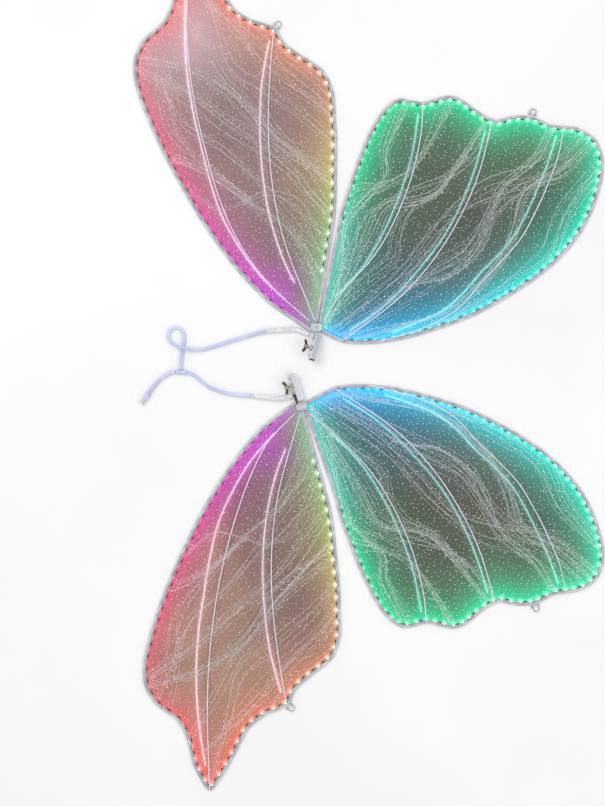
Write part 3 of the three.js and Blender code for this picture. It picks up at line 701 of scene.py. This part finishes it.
def film_finish(name, roughness, alpha):
    """Glossy film: its vertex tint and its gloss vary with a slow noise, and a finer, warped
    noise creases the surface."""
    material = glowing(name, 1.25, Coat_Weight=0.35, Coat_Roughness=0.12, Alpha=alpha,
                       Specular_IOR_Level=0.5)
    tree = material.node_tree
    shader = tree.nodes["Principled BSDF"]
    tint = shader.inputs["Base Color"].links[0].from_socket
    place = tree.nodes.new("ShaderNodeTexCoord")
    cloud = tree.nodes.new("ShaderNodeTexNoise")
    cloud.inputs["Scale"].default_value = 14
    cloud.inputs["Detail"].default_value = 6
    crease = tree.nodes.new("ShaderNodeTexNoise")
    crease.inputs["Scale"].default_value = 90
    crease.inputs["Detail"].default_value = 3
    crease.inputs["Distortion"].default_value = 1.5
    for node in (cloud, crease):
        tree.links.new(place.outputs["Object"], node.inputs["Vector"])
    swing = tree.nodes.new("ShaderNodeMapRange")
    swing.inputs["To Min"].default_value = 0.7
    swing.inputs["To Max"].default_value = 1.3
    tree.links.new(cloud.outputs["Fac"], swing.inputs["Value"])
    shade = tree.nodes.new("ShaderNodeVectorMath")
    shade.operation = "SCALE"
    tree.links.new(tint, shade.inputs[0])
    tree.links.new(swing.outputs["Result"], shade.inputs["Scale"])
    tree.links.new(shade.outputs["Vector"], shader.inputs["Base Color"])
    gloss = tree.nodes.new("ShaderNodeMapRange")
    gloss.inputs["To Min"].default_value = roughness - 0.1
    gloss.inputs["To Max"].default_value = roughness + 0.14
    tree.links.new(cloud.outputs["Fac"], gloss.inputs["Value"])
    tree.links.new(gloss.outputs["Result"], shader.inputs["Roughness"])
    add_bump(tree, crease.outputs["Fac"], shader, 0.35, 0.0004)
    return material


film_finishes = {"fore": film_finish("fore_film_gloss", 0.34, 0.7),
                 "hind": film_finish("hind_film_gloss", 0.34, 0.66)}
film_edges, film_pieces = {}, {}
for half, kind in WINGS:
    side = HALF_SIDES[half]
    _, heart, path = wing_lines[half, kind]
    edge = inset(path, side * (STRIP_INSET + FILM_INSET) * MM)[:, :2]
    # Where the wire's two ends run close together, the inset line's points too near it go.
    clear = np.linalg.norm(edge[:, None] - path[None, :, :2], axis=2).min(1)
    edge = edge[clear > EDGE_SLACK * (STRIP_INSET + FILM_INSET) * MM]
    edge = evenly(np.vstack([edge, edge[:1]]), FILM_SPOKES + 1)[:-1]
    outwards = edge - heart
    share = np.linspace(0.015, 1, FILM_RINGS) ** 0.72
    flat = heart + share[:, None, None] * outwards[None]
    tint, glow, distance = film_light(half, kind, flat.reshape(-1, 2))
    height = film_height(flat.reshape(-1, 2), distance).reshape(FILM_RINGS, FILM_SPOKES)
    lower_side = np.dstack([flat, height - FILM_THICKNESS / 2 * MM])
    upper_side = np.dstack([flat, height + FILM_THICKNESS / 2 * MM])
    grid = np.concatenate([lower_side, upper_side[::-1]])
    if side < 0:
        grid = grid[:, ::-1]
    film = surface(f"{half}_{kind}_wing_film", grid, film_finishes[kind])
    for name, values in [("tint", tint), ("glow", glow)]:
        rings = values.reshape(FILM_RINGS, FILM_SPOKES, 3)
        both = np.concatenate([rings, rings[::-1]])
        both = both[:, ::-1] if side < 0 else both
        centre = np.stack([rings[0].mean(0)] * 2)
        set_colours(film, name, np.vstack([both.reshape(-1, 3), centre]))
    fixed_to(film, f"{half}_half", f"{half}_{kind}_film")
    film_edges[half, kind] = edge
    film_pieces[half, kind] = film


# ---------------------------------------------------------------- printed veins
# The film is printed with bundles of fine dotted white lines that flow across the wing, and
# with white specks that crowd along the bundles and thin out between them.
PRINT_LIFT = 0.06
STRAND_STEP = 1.5
STRAND_OVERRUN = 45
VEINS = {
    # Each bundle: its spread and number of strands, then its [x, out] points.
    "fore": [
        (13, 9, [(20, 40), (45, 120), (55, 200), (85, 240), (122, 285), (120, 325), (150, 400)]),
        (18, 8, [(45, 170), (62, 245), (110, 262), (160, 290), (195, 340), (225, 400)]),
        (11, 8, [(20, 25), (60, 105), (95, 170), (125, 228), (180, 240), (215, 258), (247, 300),
                 (300, 380)]),
        (10, 5, [(30, 35), (85, 88), (135, 135), (142, 180), (165, 225), (215, 255), (240, 285)]),
        (17, 10, [(60, 5), (190, 95), (270, 145), (303, 197), (330, 260), (392, 320), (420, 375)]),
        (14, 10, [(60, -10), (110, 2), (240, 43), (322, 122), (352, 187), (370, 255), (430, 300),
                  (480, 350)]),
        (16, 8, [(180, 0), (270, 42), (350, 90), (415, 145), (442, 218), (498, 292), (530, 330)]),
        (9, 5, [(195, 95), (235, 105), (290, 155), (320, 220), (380, 270), (440, 290), (480, 330)]),
        (14, 4, [(40, 20), (150, 110), (220, 200), (300, 270), (400, 300), (450, 350)]),
        (7, 3, [(60, 20), (120, 60), (200, 150), (250, 215), (330, 250), (400, 265)]),
        (12, 4, [(50, 95), (90, 210), (150, 250), (260, 300), (330, 400)]),
    ],
    "hind": [
        (15, 9, [(-300, 488), (-228, 474), (-165, 440), (-124, 402), (-70, 342), (28, 288), (60, 280)]),
        (10, 6, [(-250, 588), (-192, 505), (-160, 455), (-124, 421), (-75, 360), (-25, 311), (40, 250)]),
        (16, 8, [(-192, 592), (-124, 531), (-60, 470), (5, 417), (60, 350)]),
        (16, 8, [(-294, 459), (-222, 420), (-160, 375), (-93, 335), (-40, 290), (5, 235), (45, 190)]),
        (14, 8, [(-279, 319), (-230, 305), (-184, 281), (-123, 236), (-51, 182), (5, 96), (20, 60)]),
        (11, 5, [(-271, 425), (-258, 368), (-225, 325), (-192, 297), (-150, 262)]),
        (8, 3, [(-233, 258), (-177, 221), (-123, 238), (-89, 253), (-33, 236), (-3, 186), (20, 140)]),
        (20, 5, [(-290, 500), (-240, 380), (-170, 330), (-80, 250), (0, 170), (40, 150)]),
        (10, 4, [(-210, 640), (-180, 560), (-150, 480), (-90, 440), (-10, 380), (60, 310)]),
        (9, 5, [(-190, 650), (-150, 590), (-90, 540), (-40, 500), (30, 450), (70, 410)]),
    ],
}
BEADS = (0.3, 0.17)
PRINT_MARGIN = 2.5
SPECK_PITCH, SPECK_JITTER, SPECK_SPREAD = 8.0, 2.3, 4.5
SPECK_MARGIN, SPECK_RADII, SPECK_SIDES = 3, (0.45, 0.9), 5
SPECKS_PER_STRAND = 32
STRAND_INK, SPECK_INK = 0.6, 0.95


def inside(flat, edge, margin):
    """Which points lie within the edge, at least the margin from it, by counting crossings."""
    start, end = edge, np.roll(edge, -1, axis=0)
    x, y = flat[:, None, 0], flat[:, None, 1]
    spans = (start[:, 1] > y) != (end[:, 1] > y)
    rise = end[:, 1] - start[:, 1] + 1e-12
    crossing = start[:, 0] + (y - start[:, 1]) * (end[:, 0] - start[:, 0]) / rise
    within = (spans & (x < crossing)).sum(1) % 2 == 1
    return within & (np.linalg.norm(flat[:, None] - edge[None], axis=2).min(1) > margin)


def strand_lines(bundle, half, kind):
    """The bundle's strands: its middle line, run on past both ends, where the film's edge cuts
    it, and moved sideways by slow waves that pinch and open."""
    spread, strands, points = bundle
    points = np.array(points, float)
    ends = points[[0, -1]] + STRAND_OVERRUN * unit(points[[0, -1]] - points[[1, -2]])
    middle = to_wing(through(np.vstack([ends[:1], points, ends[1:]]), 200), half, kind)
    line = evenly(middle, int(length_of(middle) / (STRAND_STEP * MM)))
    tangent = unit(np.gradient(line, axis=0))
    square = np.stack([-tangent[:, 1], tangent[:, 0]], axis=1)
    t = np.linspace(0, 1, len(line))[None]
    lanes = np.linspace(-1, 1, strands)[:, None] + rng.normal(0, 0.12, (strands, 1))
    pace, phase = rng.uniform(2, 5, (strands, 1)), rng.uniform(0, 6.3, (strands, 1))
    sideways = lanes * (0.55 + 0.45 * np.cos(5.5 * t + spread)) + 0.35 * np.sin(pace * t * 2 + phase)
    return line[None] + (sideways * spread * MM)[..., None] * square[None]


# The print's glow is painted light: the white ink shines faintly by itself and carries the lamps' light
# around it.
vein_ink_with_painted_glow = glowing("vein_ink_with_painted_glow", 0.55, Roughness=0.5)
for half, kind in WINGS:
    edge = film_edges[half, kind]
    corners, faces, specks = [], [], []
    for bundle in VEINS[kind]:
        strands = strand_lines(bundle, half, kind)
        count, steps, _ = strands.shape
        flat = strands.reshape(-1, 2)
        kept = inside(flat, edge, PRINT_MARGIN * MM).reshape(count, steps)
        tangent = unit(np.gradient(strands, axis=1))
        square = np.stack([-tangent[..., 1], tangent[..., 0]], axis=-1)
        bead = np.where(np.arange(steps) % 2, *BEADS) * rng.uniform(0.75, 1.15, (count, 1))
        aside = square * bead[..., None] * MM
        sides = np.stack([strands - aside, strands + aside], axis=2)
        index = np.arange(count * steps * 2).reshape(count, steps, 2) + sum(map(len, corners))
        quads = np.stack([index[:, :-1, 0], index[:, 1:, 0], index[:, 1:, 1], index[:, :-1, 1]], axis=-1)
        corners.append(sides.reshape(-1, 2))
        faces += quads[kept[:, :-1] & kept[:, 1:]].tolist()
        picks = strands.reshape(-1, 2)[rng.integers(0, count * steps, count * SPECKS_PER_STRAND)]
        specks.append(picks + rng.normal(0, SPECK_SPREAD * MM, picks.shape))
    low, high = edge.min(0), edge.max(0)
    lattice = np.stack(np.meshgrid(*[np.arange(a, b, SPECK_PITCH * MM) for a, b in zip(low, high)]), -1)
    lattice[::2, :, 0] += SPECK_PITCH / 2 * MM
    specks.append(lattice.reshape(-1, 2) + rng.normal(0, SPECK_JITTER * MM, (lattice[..., 0].size, 2)))
    specks = np.vstack(specks)
    specks = specks[inside(specks, edge, SPECK_MARGIN * MM)]
    radius = rng.uniform(*SPECK_RADII, (len(specks), 1, 1)) * MM
    angle = np.arange(SPECK_SIDES) * 2 * np.pi / SPECK_SIDES
    discs = specks[:, None] + radius * np.stack([np.cos(angle), np.sin(angle)], axis=-1)
    offset = sum(map(len, corners))
    faces += (np.arange(len(specks) * SPECK_SIDES).reshape(-1, SPECK_SIDES) + offset).tolist()
    corners.append(discs.reshape(-1, 2))
    flat = np.vstack(corners)
    tint, glow, distance = film_light(half, kind, flat)
    height = film_height(flat, distance) + (FILM_THICKNESS / 2 + PRINT_LIFT) * MM
    # Only the corners that a face uses are kept.
    used = np.unique(np.concatenate([np.ravel(face) for face in faces]))
    renumber = np.zeros(len(flat), int)
    renumber[used] = np.arange(len(used))
    faces = [renumber[face].tolist() for face in faces]
    veins = new_piece(f"{half}_{kind}_vein_print", np.column_stack([flat, height])[used], faces, vein_ink_with_painted_glow,
                      smooth=False)
    # Painted light on the real white print: the ink's colour takes some of the hue of the lamps' light
    # around it, and it glows faintly by itself and with that light.
    hue = glow / (glow.max(1, keepdims=True) + 0.05)
    ink = np.where(np.arange(len(flat)) < offset, STRAND_INK, SPECK_INK)[:, None]
    set_colours(veins, "tint", (ink * (0.72 + 0.15 * hue))[used])
    set_colours(veins, "glow", (0.3 * ink * (0.6 + 0.4 * hue) + 0.6 * glow)[used])
    fixed_to(veins, f"{half}_half")
    size = high - low


# ---------------------------------------------------------------- ribs
# Thin plastic rods stiffen each wing. The front ones cross over the film in white, and the back
# ones lie under it and carry the lamps' light along, so they glow through in its colour.
ROD_D = 2.0
RIB_COUNTS = {"fore": 3, "hind": 2}
OWN_GLOW, LAMP_GLOW = 0.8, 0.8
BACK_RIB_GLOW = {"fore": (168, 228, 232), "hind": (220, 208, 226)}
rib_white = mottled("rib_white", (234, 234, 240), (214, 212, 226), 0.02, 0.0008, 0.35, 0.15, 0.00003,
                    Coat_Weight=0.2)
rib_glow = glowing("rib_glow", 9.0, Roughness=0.4)
for half, kind in WINGS:
    for layer in ("front", "back"):
        for number in range(1, RIB_COUNTS[kind] + 1):
            node = f"{half}_{kind}_{layer}_rib_{number}"
            path = through(rings_along(node, 6), 120)
            rib = surface(f"{half}_{kind}_{layer}_rod_{number}", tube(path, ROD_D / 2 * MM, 12),
                          rib_white if layer == "front" else rib_glow)
            if layer == "back":
                corners = np.array([vertex.co[:2] for vertex in rib.data.vertices])
                _, glow, _ = film_light(half, kind, corners)
                carried = np.array(linear(*BACK_RIB_GLOW[kind])[:3])
                set_colours(rib, "tint", np.broadcast_to(carried, (len(corners), 3)))
                set_colours(rib, "glow", OWN_GLOW * carried + LAMP_GLOW * np.minimum(glow, 1))
            fixed_to(rib, f"{half}_half", node)


# ---------------------------------------------------------------- eyelets
# A loop of bare tinned wire is soldered by its two feet to each frame's outer edge, for the
# strings that spread the wings.
EYELET_WIRE = 1.8
tinned_wire = mottled("tinned_wire", (204, 206, 208), (160, 162, 166), 0.003, 0.0005, 0.28, 0.3,
                      0.00003, Metallic=1.0)
SOLDER_BLOB = dome(1.7, 1.3, rows=4, columns=12)
for half, kind in WINGS:
    node = f"{half}_{kind}_eyelet"
    corners = node_points(node)
    level = corners[np.abs(corners[:, 2] - WIRE_D / 2 * MM) < 0.05 * MM]
    ring_corners = level if len(level) >= 30 else corners
    apart = np.linalg.norm(ring_corners[:, None] - ring_corners[None], axis=2)
    reach = EYELET_WIRE / np.cos(np.pi / 6) * MM
    first, second = np.nonzero(np.triu(np.abs(apart - reach) < 0.03 * MM))
    middles = (ring_corners[first] + ring_corners[second]) / 2
    _, _, wire_path = wing_lines[half, kind]
    gap_to_wire = np.linalg.norm(middles[:, None, :2] - wire_path[None, :, :2], axis=2).min(1)
    centre = middles[gap_to_wire > 4.5 * MM].mean(0)
    angle = np.arctan2(*(middles - centre)[:, :2].T[::-1])
    foot = wire_path[np.linalg.norm(wire_path - centre, axis=1).argmin()]
    foot_angle = np.arctan2(*(foot - centre)[1::-1])
    order = np.argsort((angle - foot_angle) % (2 * np.pi))
    path = through(middles[order], 140)
    eyelet = surface(f"{half}_{kind}_eyelet_loop", tube(path, EYELET_WIRE / 2 * MM, 12), tinned_wire)
    fixed_to(eyelet, f"{half}_half", node)
    feet = path[[0, -1]] + UP * 0.4 * MM
    solder = stamped(f"{half}_{kind}_eyelet_solder", SOLDER_BLOB, feet, np.eye(3)[[0, 0]], tinned_wire)
    fixed_to(solder, f"{half}_half")


# ---------------------------------------------------------------- sockets
# Each root ends in a short square aluminium tube that plugs on the harness. A wing screw with a
# threaded silver shank and an old-brass head clamps it through a boss on one face.
aluminium = mottled("brushed_aluminium", (232, 235, 238), (205, 210, 216), 0.01, 0.0006, 0.32, 0.2,
                    0.00002, Metallic=1.0)
TUBE_SIDE, BOSS_HEIGHT = 12.7, 3.0
HUB_STANDOFF = 4.3
THREAD_PITCH, THREAD_CORE, THREAD_DEPTH, THREAD_RUN_OUT = 0.8, 2.02, 0.48, 0.7
RIVET_PLACES = (0.2, 0.86)
old_brass = mottled("old_brass", (126, 106, 82), (76, 62, 48), 0.003, 0.0006, 0.34, 0.3, 0.00005,
                    Metallic=1.0)
# The hub is silver metal, and its pale colour is partly a painted highlight on the screw's centre.
silver_hub_and_highlight = mottled("silver_hub_and_highlight", (176, 172, 162), (124, 116, 104), 0.003, 0.0006, 0.3, 0.3, 0.00004,
                   Metallic=1.0)
dark_rivet = mottled("dark_rivet", (70, 70, 74), (40, 40, 44), 0.002, 0.0004, 0.4, 0.2, 0.00002,
                     Metallic=0.8)


def brush_along(material, axis):
    """Stretches the finish's noises along an axis, so that the grain runs that way."""
    tree = material.node_tree
    group = next(node for node in tree.nodes if node.type == "GROUP")
    mapping = tree.nodes.new("ShaderNodeMapping")
    level = unit(np.cross(UP, axis))
    rise = np.cross(axis, level)
    mapping.inputs["Rotation"].default_value = Matrix((axis, level, rise)).to_euler()
    squeeze = tree.nodes.new("ShaderNodeVectorMath")
    squeeze.operation = "MULTIPLY"
    squeeze.inputs[1].default_value = (0.06, 1, 1)
    place = group.inputs["Vector"].links[0].from_socket
    tree.links.new(place, mapping.inputs["Vector"])
    tree.links.new(mapping.outputs["Vector"], squeeze.inputs[0])
    tree.links.new(squeeze.outputs["Vector"], group.inputs["Vector"])


def paddle(t, angle):
    """One wing of the screw's head, as (out of the hub, to the side, thickness) in millimetres:
    a centre line that leans outwards, with an oval section that swells towards its round end."""
    lean = np.stack([1.8 + 6.4 * t**0.9, 1.2 + 11.0 * t, 0 * t], axis=-1)
    width = (2.2 + 1.4 * np.sin(np.pi * np.clip(t * 1.1 - 0.1, 0, 1)) ** 2 * t) * np.sqrt(
        np.clip(1 - np.clip((t - 0.8) / 0.2, 0, 1) ** 2, 0.01, 1))
    thickness = (1.2 - 0.25 * t) * np.sqrt(np.clip(1 - np.clip((t - 0.85) / 0.15, 0, 1) ** 2, 0.01, 1))
    across = np.array([0.75, -0.66, 0.0])
    c, s = np.cos(angle), np.sin(angle)
    round_off = lambda value: np.sign(value) * np.abs(value) ** 0.75
    return (lean[:, None] + (width[:, None] * round_off(c))[..., None] * across
            + (thickness[:, None] * round_off(s))[..., None] * UP)


joints = {joint["name"]: joint for joint in frame["joints"]}
for half, side in HALF_SIDES.items():
    tube_points = node_points(f"{half}_socket_tube")
    middle = tube_points.mean(0)
    gusset_middle = np.array(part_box(f"{half}_root_gusset")).mean(0)
    axis = np.linalg.svd(tube_points - middle, full_matrices=False)[2][0]
    axis = axis * np.sign((middle - gusset_middle) @ axis)
    reach = (tube_points - middle) @ axis
    low_end, high_end = middle + reach.min() * axis, middle + reach.max() * axis
    tube_finish = aluminium.copy()
    tube_finish.name = f"{half}_{aluminium.name}"
    brush_along(tube_finish, axis)
    tube_node = frame["nodes"][f"{half}_socket_tube"]
    tube_node.data.materials.clear()
    tube_node.data.materials.append(tube_finish)

    turn = joints[f"{half}_screw_turn"]
    outwards = -unit(np.array(turn["axis"], float))
    hub = np.array(turn["pos_m"], float)
    boss_start = hub - outwards * (BOSS_HEIGHT + HUB_STANDOFF) * MM
    boss = turned(f"{half}_threaded_boss", [
        (0, 2.9), (0, 4.5), (0.5, 4.5), (0.7, 4.2), (1.0, 4.2), (1.2, 4.5), (2.1, 4.5), (3, 3.7), (3, 2.8),
        (2.6, 2.65), (0.2, 2.65)], boss_start, outwards, tinned_wire)
    fixed_to(boss, f"{half}_half", f"{half}_clamp_boss")

    stud_length = float(((node_points(f"{half}_clamp_stud") - hub) @ -outwards).max() / MM)
    rows = np.linspace(0, stud_length, int(stud_length * 9))
    spin = np.arange(32) * 2 * np.pi / 32
    thread = np.abs(((rows[:, None] / THREAD_PITCH - spin[None] / (2 * np.pi)) % 1) * 2 - 1)
    ends = np.clip(np.minimum(rows, rows[-1] - rows) / THREAD_RUN_OUT, 0, 1)[:, None]
    radius = (THREAD_CORE + THREAD_DEPTH * thread * ends) * MM
    level = unit(np.cross(UP, outwards))
    rise = np.cross(outwards, level)
    around = np.cos(spin)[:, None] * level + np.sin(spin)[:, None] * rise
    stud_base = hub - outwards * stud_length * MM
    stud_grid = (stud_base + rows[:, None] * MM * outwards)[:, None] + radius[..., None] * around[None]
    stud = surface(f"{half}_threaded_stud", stud_grid, tinned_wire, sharp=60)
    fixed_to(stud, f"{half}_stud", f"{half}_clamp_stud")

    # The hub's pale silver colour is partly a painted highlight.
    head = turned(f"{half}_wing_screw_hub", [
        (0, 2.6), (0, 3.6), (0.4, 4), (3.2, 4), (3.9, 3.7), (6.4, 2.9), (7, 2.2), (7, 0.8), (6.7, 0.5)],
        hub, outwards, silver_hub_and_highlight)
    across = np.cross(outwards, axis)
    t = np.linspace(0, 1, 26)
    ring = np.arange(20) * 2 * np.pi / 20
    for number, way in enumerate((1, -1), start=1):
        local = paddle(t, ring)
        grid = hub + MM * (local[..., :1] * outwards + way * local[..., 1:2] * axis
                           + local[..., 2:] * across)
        if way * np.linalg.det(np.stack([outwards, axis, across])) > 0:
            grid = grid[:, ::-1]
        wing = surface(f"{half}_wing_screw_wing_{number}", grid, old_brass)
        fixed_to(wing, f"{half}_wings")
    fixed_to(head, f"{half}_wings", f"{half}_clamp_wings")

    # Two dark rivets sit on the tube's face on the screw's side, one near each end.
    face = TUBE_SIDE / 2 * MM * outwards
    for number, share in enumerate(RIVET_PLACES, start=1):
        start = low_end + share * (high_end - low_end) + face
        rivet = turned(f"{half}_rivet_{number}", [(-0.2, 1.3), (0.15, 1.3), (0.45, 1.0), (0.6, 0.5)],
                       start, outwards, dark_rivet, segments=20)
        fixed_to(rivet, f"{half}_half")


# ---------------------------------------------------------------- roots
# The four wire ends are soldered under a grey plate with rounded edges. White tape is wound
# over each lead's end in overlapping turns.
PLATE_SHARES, PLATE_SHIFT = (0.8, 0.84), 1.2
TAPE_STEPS, TAPE_SIDES = 260, 40
TAPE_CORE, TAPE_THICKNESS, TAPE_LAP = 3.5, 0.62, 0.32
TAPE_TURN, TAPE_TAPER, TAPE_REST_Z = 11, 10, 4.6
gusset_solder = mottled("gusset_solder", (206, 211, 217), (172, 178, 186), 0.006, 0.0008, 0.5, 0.3,
                        0.00012, Metallic=0.3)
wound_tape = mottled("wound_tape", (236, 238, 239), (203, 206, 209), 0.006, 0.0012, 0.62, 0.2, 0.0003,
                     Sheen_Weight=0.2)
for half, side in HALF_SIDES.items():
    plate = node_points(f"{half}_root_gusset")
    low, high = plate[:, 2].min(), plate[:, 2].max()
    rim = np.unique(np.round(plate[:, :2], 5), axis=0)
    middle = rim.mean(0)
    rim = rim[np.argsort(np.arctan2(*(rim - middle).T[::-1]))]
    rim = evenly(np.vstack([rim, rim[:1]]), 97)[:-1]
    blur = np.hanning(13)[1:-1]
    wrapped = np.vstack([rim[-5:], rim, rim[:5]])
    rim = np.stack([np.convolve(wrapped[:, c], blur / blur.sum(), "valid") for c in (0, 1)], axis=1)
    rim = middle + (rim - middle) * PLATE_SHARES
    rim[:, 1] -= side * PLATE_SHIFT * MM
    middle = rim.mean(0)
    shares = [0.03, 0.5, 0.92, 1.0, 1.0, 0.965, 0.9, 0.75, 0.4, 0.03]
    heights = [0, 0, 0, 0.2, 0.62, 0.86, 0.96, 1.0, 1.04, 1.08]
    levels = low + np.array(heights) * (high - low)
    grid = np.dstack([
        middle + np.array(shares)[:, None, None] * (rim - middle),
        np.broadcast_to(levels[:, None], (len(shares), len(rim))),
    ])
    grid[6:, :, 2] += lumps(4, len(rim), 0.07 * MM, 1)
    gusset = surface(f"{half}_root_plate", grid, gusset_solder, sharp=50)
    fixed_to(gusset, f"{half}_half", f"{half}_root_gusset")

    path = through(rings_along(f"{half}_tape_sleeve", 8), TAPE_STEPS)
    if path[0, 0] < path[-1, 0]:
        path = path[::-1].copy()
    run = np.linspace(0, length_of(path), TAPE_STEPS)[:, None]
    spin = np.arange(TAPE_SIDES)[None] * 2 * np.pi / TAPE_SIDES
    wraps = (run / (TAPE_TURN * MM) - spin / (2 * np.pi)) % 1
    taper = np.clip((run[-1] - run) / (TAPE_TAPER * MM), 0, 1) ** 0.5
    radius = TAPE_CORE + (TAPE_THICKNESS + TAPE_LAP * wraps**0.6) * taper
    radius = (radius + lumps(TAPE_STEPS, TAPE_SIDES, 0.1, 7)) * MM
    path[:, 2] = np.maximum(path[:, 2], TAPE_REST_Z * MM)
    sleeve = surface(f"{half}_wound_tape", tube(path, radius, TAPE_SIDES), wound_tape, sharp=55)
    fixed_to(sleeve, f"{half}_half", f"{half}_tape_sleeve")


# ---------------------------------------------------------------- bare wires
# At the right root the lead's two cores come out of the tape, a black one and a red one, and
# run up over the socket's shoulder to the plate, where they are soldered.
CORE_D = 1.9
TAPE_END = (-17.5, 4.5, SLEEVE_D / 2)
CORE_RUNS = {
    "black": [(-19, -4.4, 5), (-15.4, -4.6, 8.8), (-13.2, -1, 11.4), (-11.6, 5, 11.6), (-8.5, 10.5, 9.8)],
    "red": [(-19, -4.0, 4.6), (-14.6, -3, 7.6), (-12.4, 1, 9.2), (-10.2, 5.5, 9.6), (-7.2, 10, 9.4)],
}
CORE_COLOURS = {"black": [(42, 40, 42), (24, 23, 25)], "red": [(176, 40, 36), (128, 24, 24)]}
sleeve_end = rings_along("right_tape_sleeve", 8)
sleeve_end = sleeve_end[np.argmax(sleeve_end[:, 0])]
core_origin = sleeve_end - np.array(TAPE_END) * MM
for colour, run in CORE_RUNS.items():
    route = core_origin + np.array(run) * (1, -1, 1) * MM
    core_plastic = mottled(f"{colour}_core", *CORE_COLOURS[colour], 0.003, 0.0005, 0.4, 0.15, 0.00002,
                           Coat_Weight=0.2)
    core = surface(f"right_{colour}_core", tube(through(route, 60), CORE_D / 2 * MM, 12), core_plastic)
    fixed_to(core, "right_half")


# ---------------------------------------------------------------- floor and light
# A plain pale floor, an even sky and two broad soft lamps above, off the line of sight.
floor_mesh = bpy.data.meshes.new("floor")
floor_mesh.from_pydata([(-6, -6, 0), (6, -6, 0), (6, 6, 0), (-6, 6, 0)], [], [(0, 1, 2, 3)])
floor = bpy.data.objects.new("floor", floor_mesh)
floor.location.z = -0.0002
bpy.context.scene.collection.objects.link(floor)
floor_mesh.materials.append(mottled("pale_floor", (246, 246, 246), (240, 240, 240), 0.6, 0.05, 0.8, 0.05,
                                    0.0001))
sky = bpy.data.worlds.new("sky")
sky.use_nodes = True
sky.node_tree.nodes["Background"].inputs["Color"].default_value = (1, 1, 1, 1)
sky.node_tree.nodes["Background"].inputs["Strength"].default_value = 0.75
bpy.context.scene.world = sky
for name, place, size, power in [("key", (-1.6, 1.4, 3.2), 2.2, 42), ("fill", (2.2, -1.2, 3.0), 2.6, 26)]:
    light = bpy.data.objects.new(name, bpy.data.lights.new(name, "AREA"))
    light.data.size = size
    light.data.energy = power
    light.location = place
    direction = -light.location.normalized()
    light.rotation_euler = direction.to_track_quat("-Z", "Y").to_euler()
    bpy.context.scene.collection.objects.link(light)
bpy.context.scene.view_settings.view_transform = "Standard"
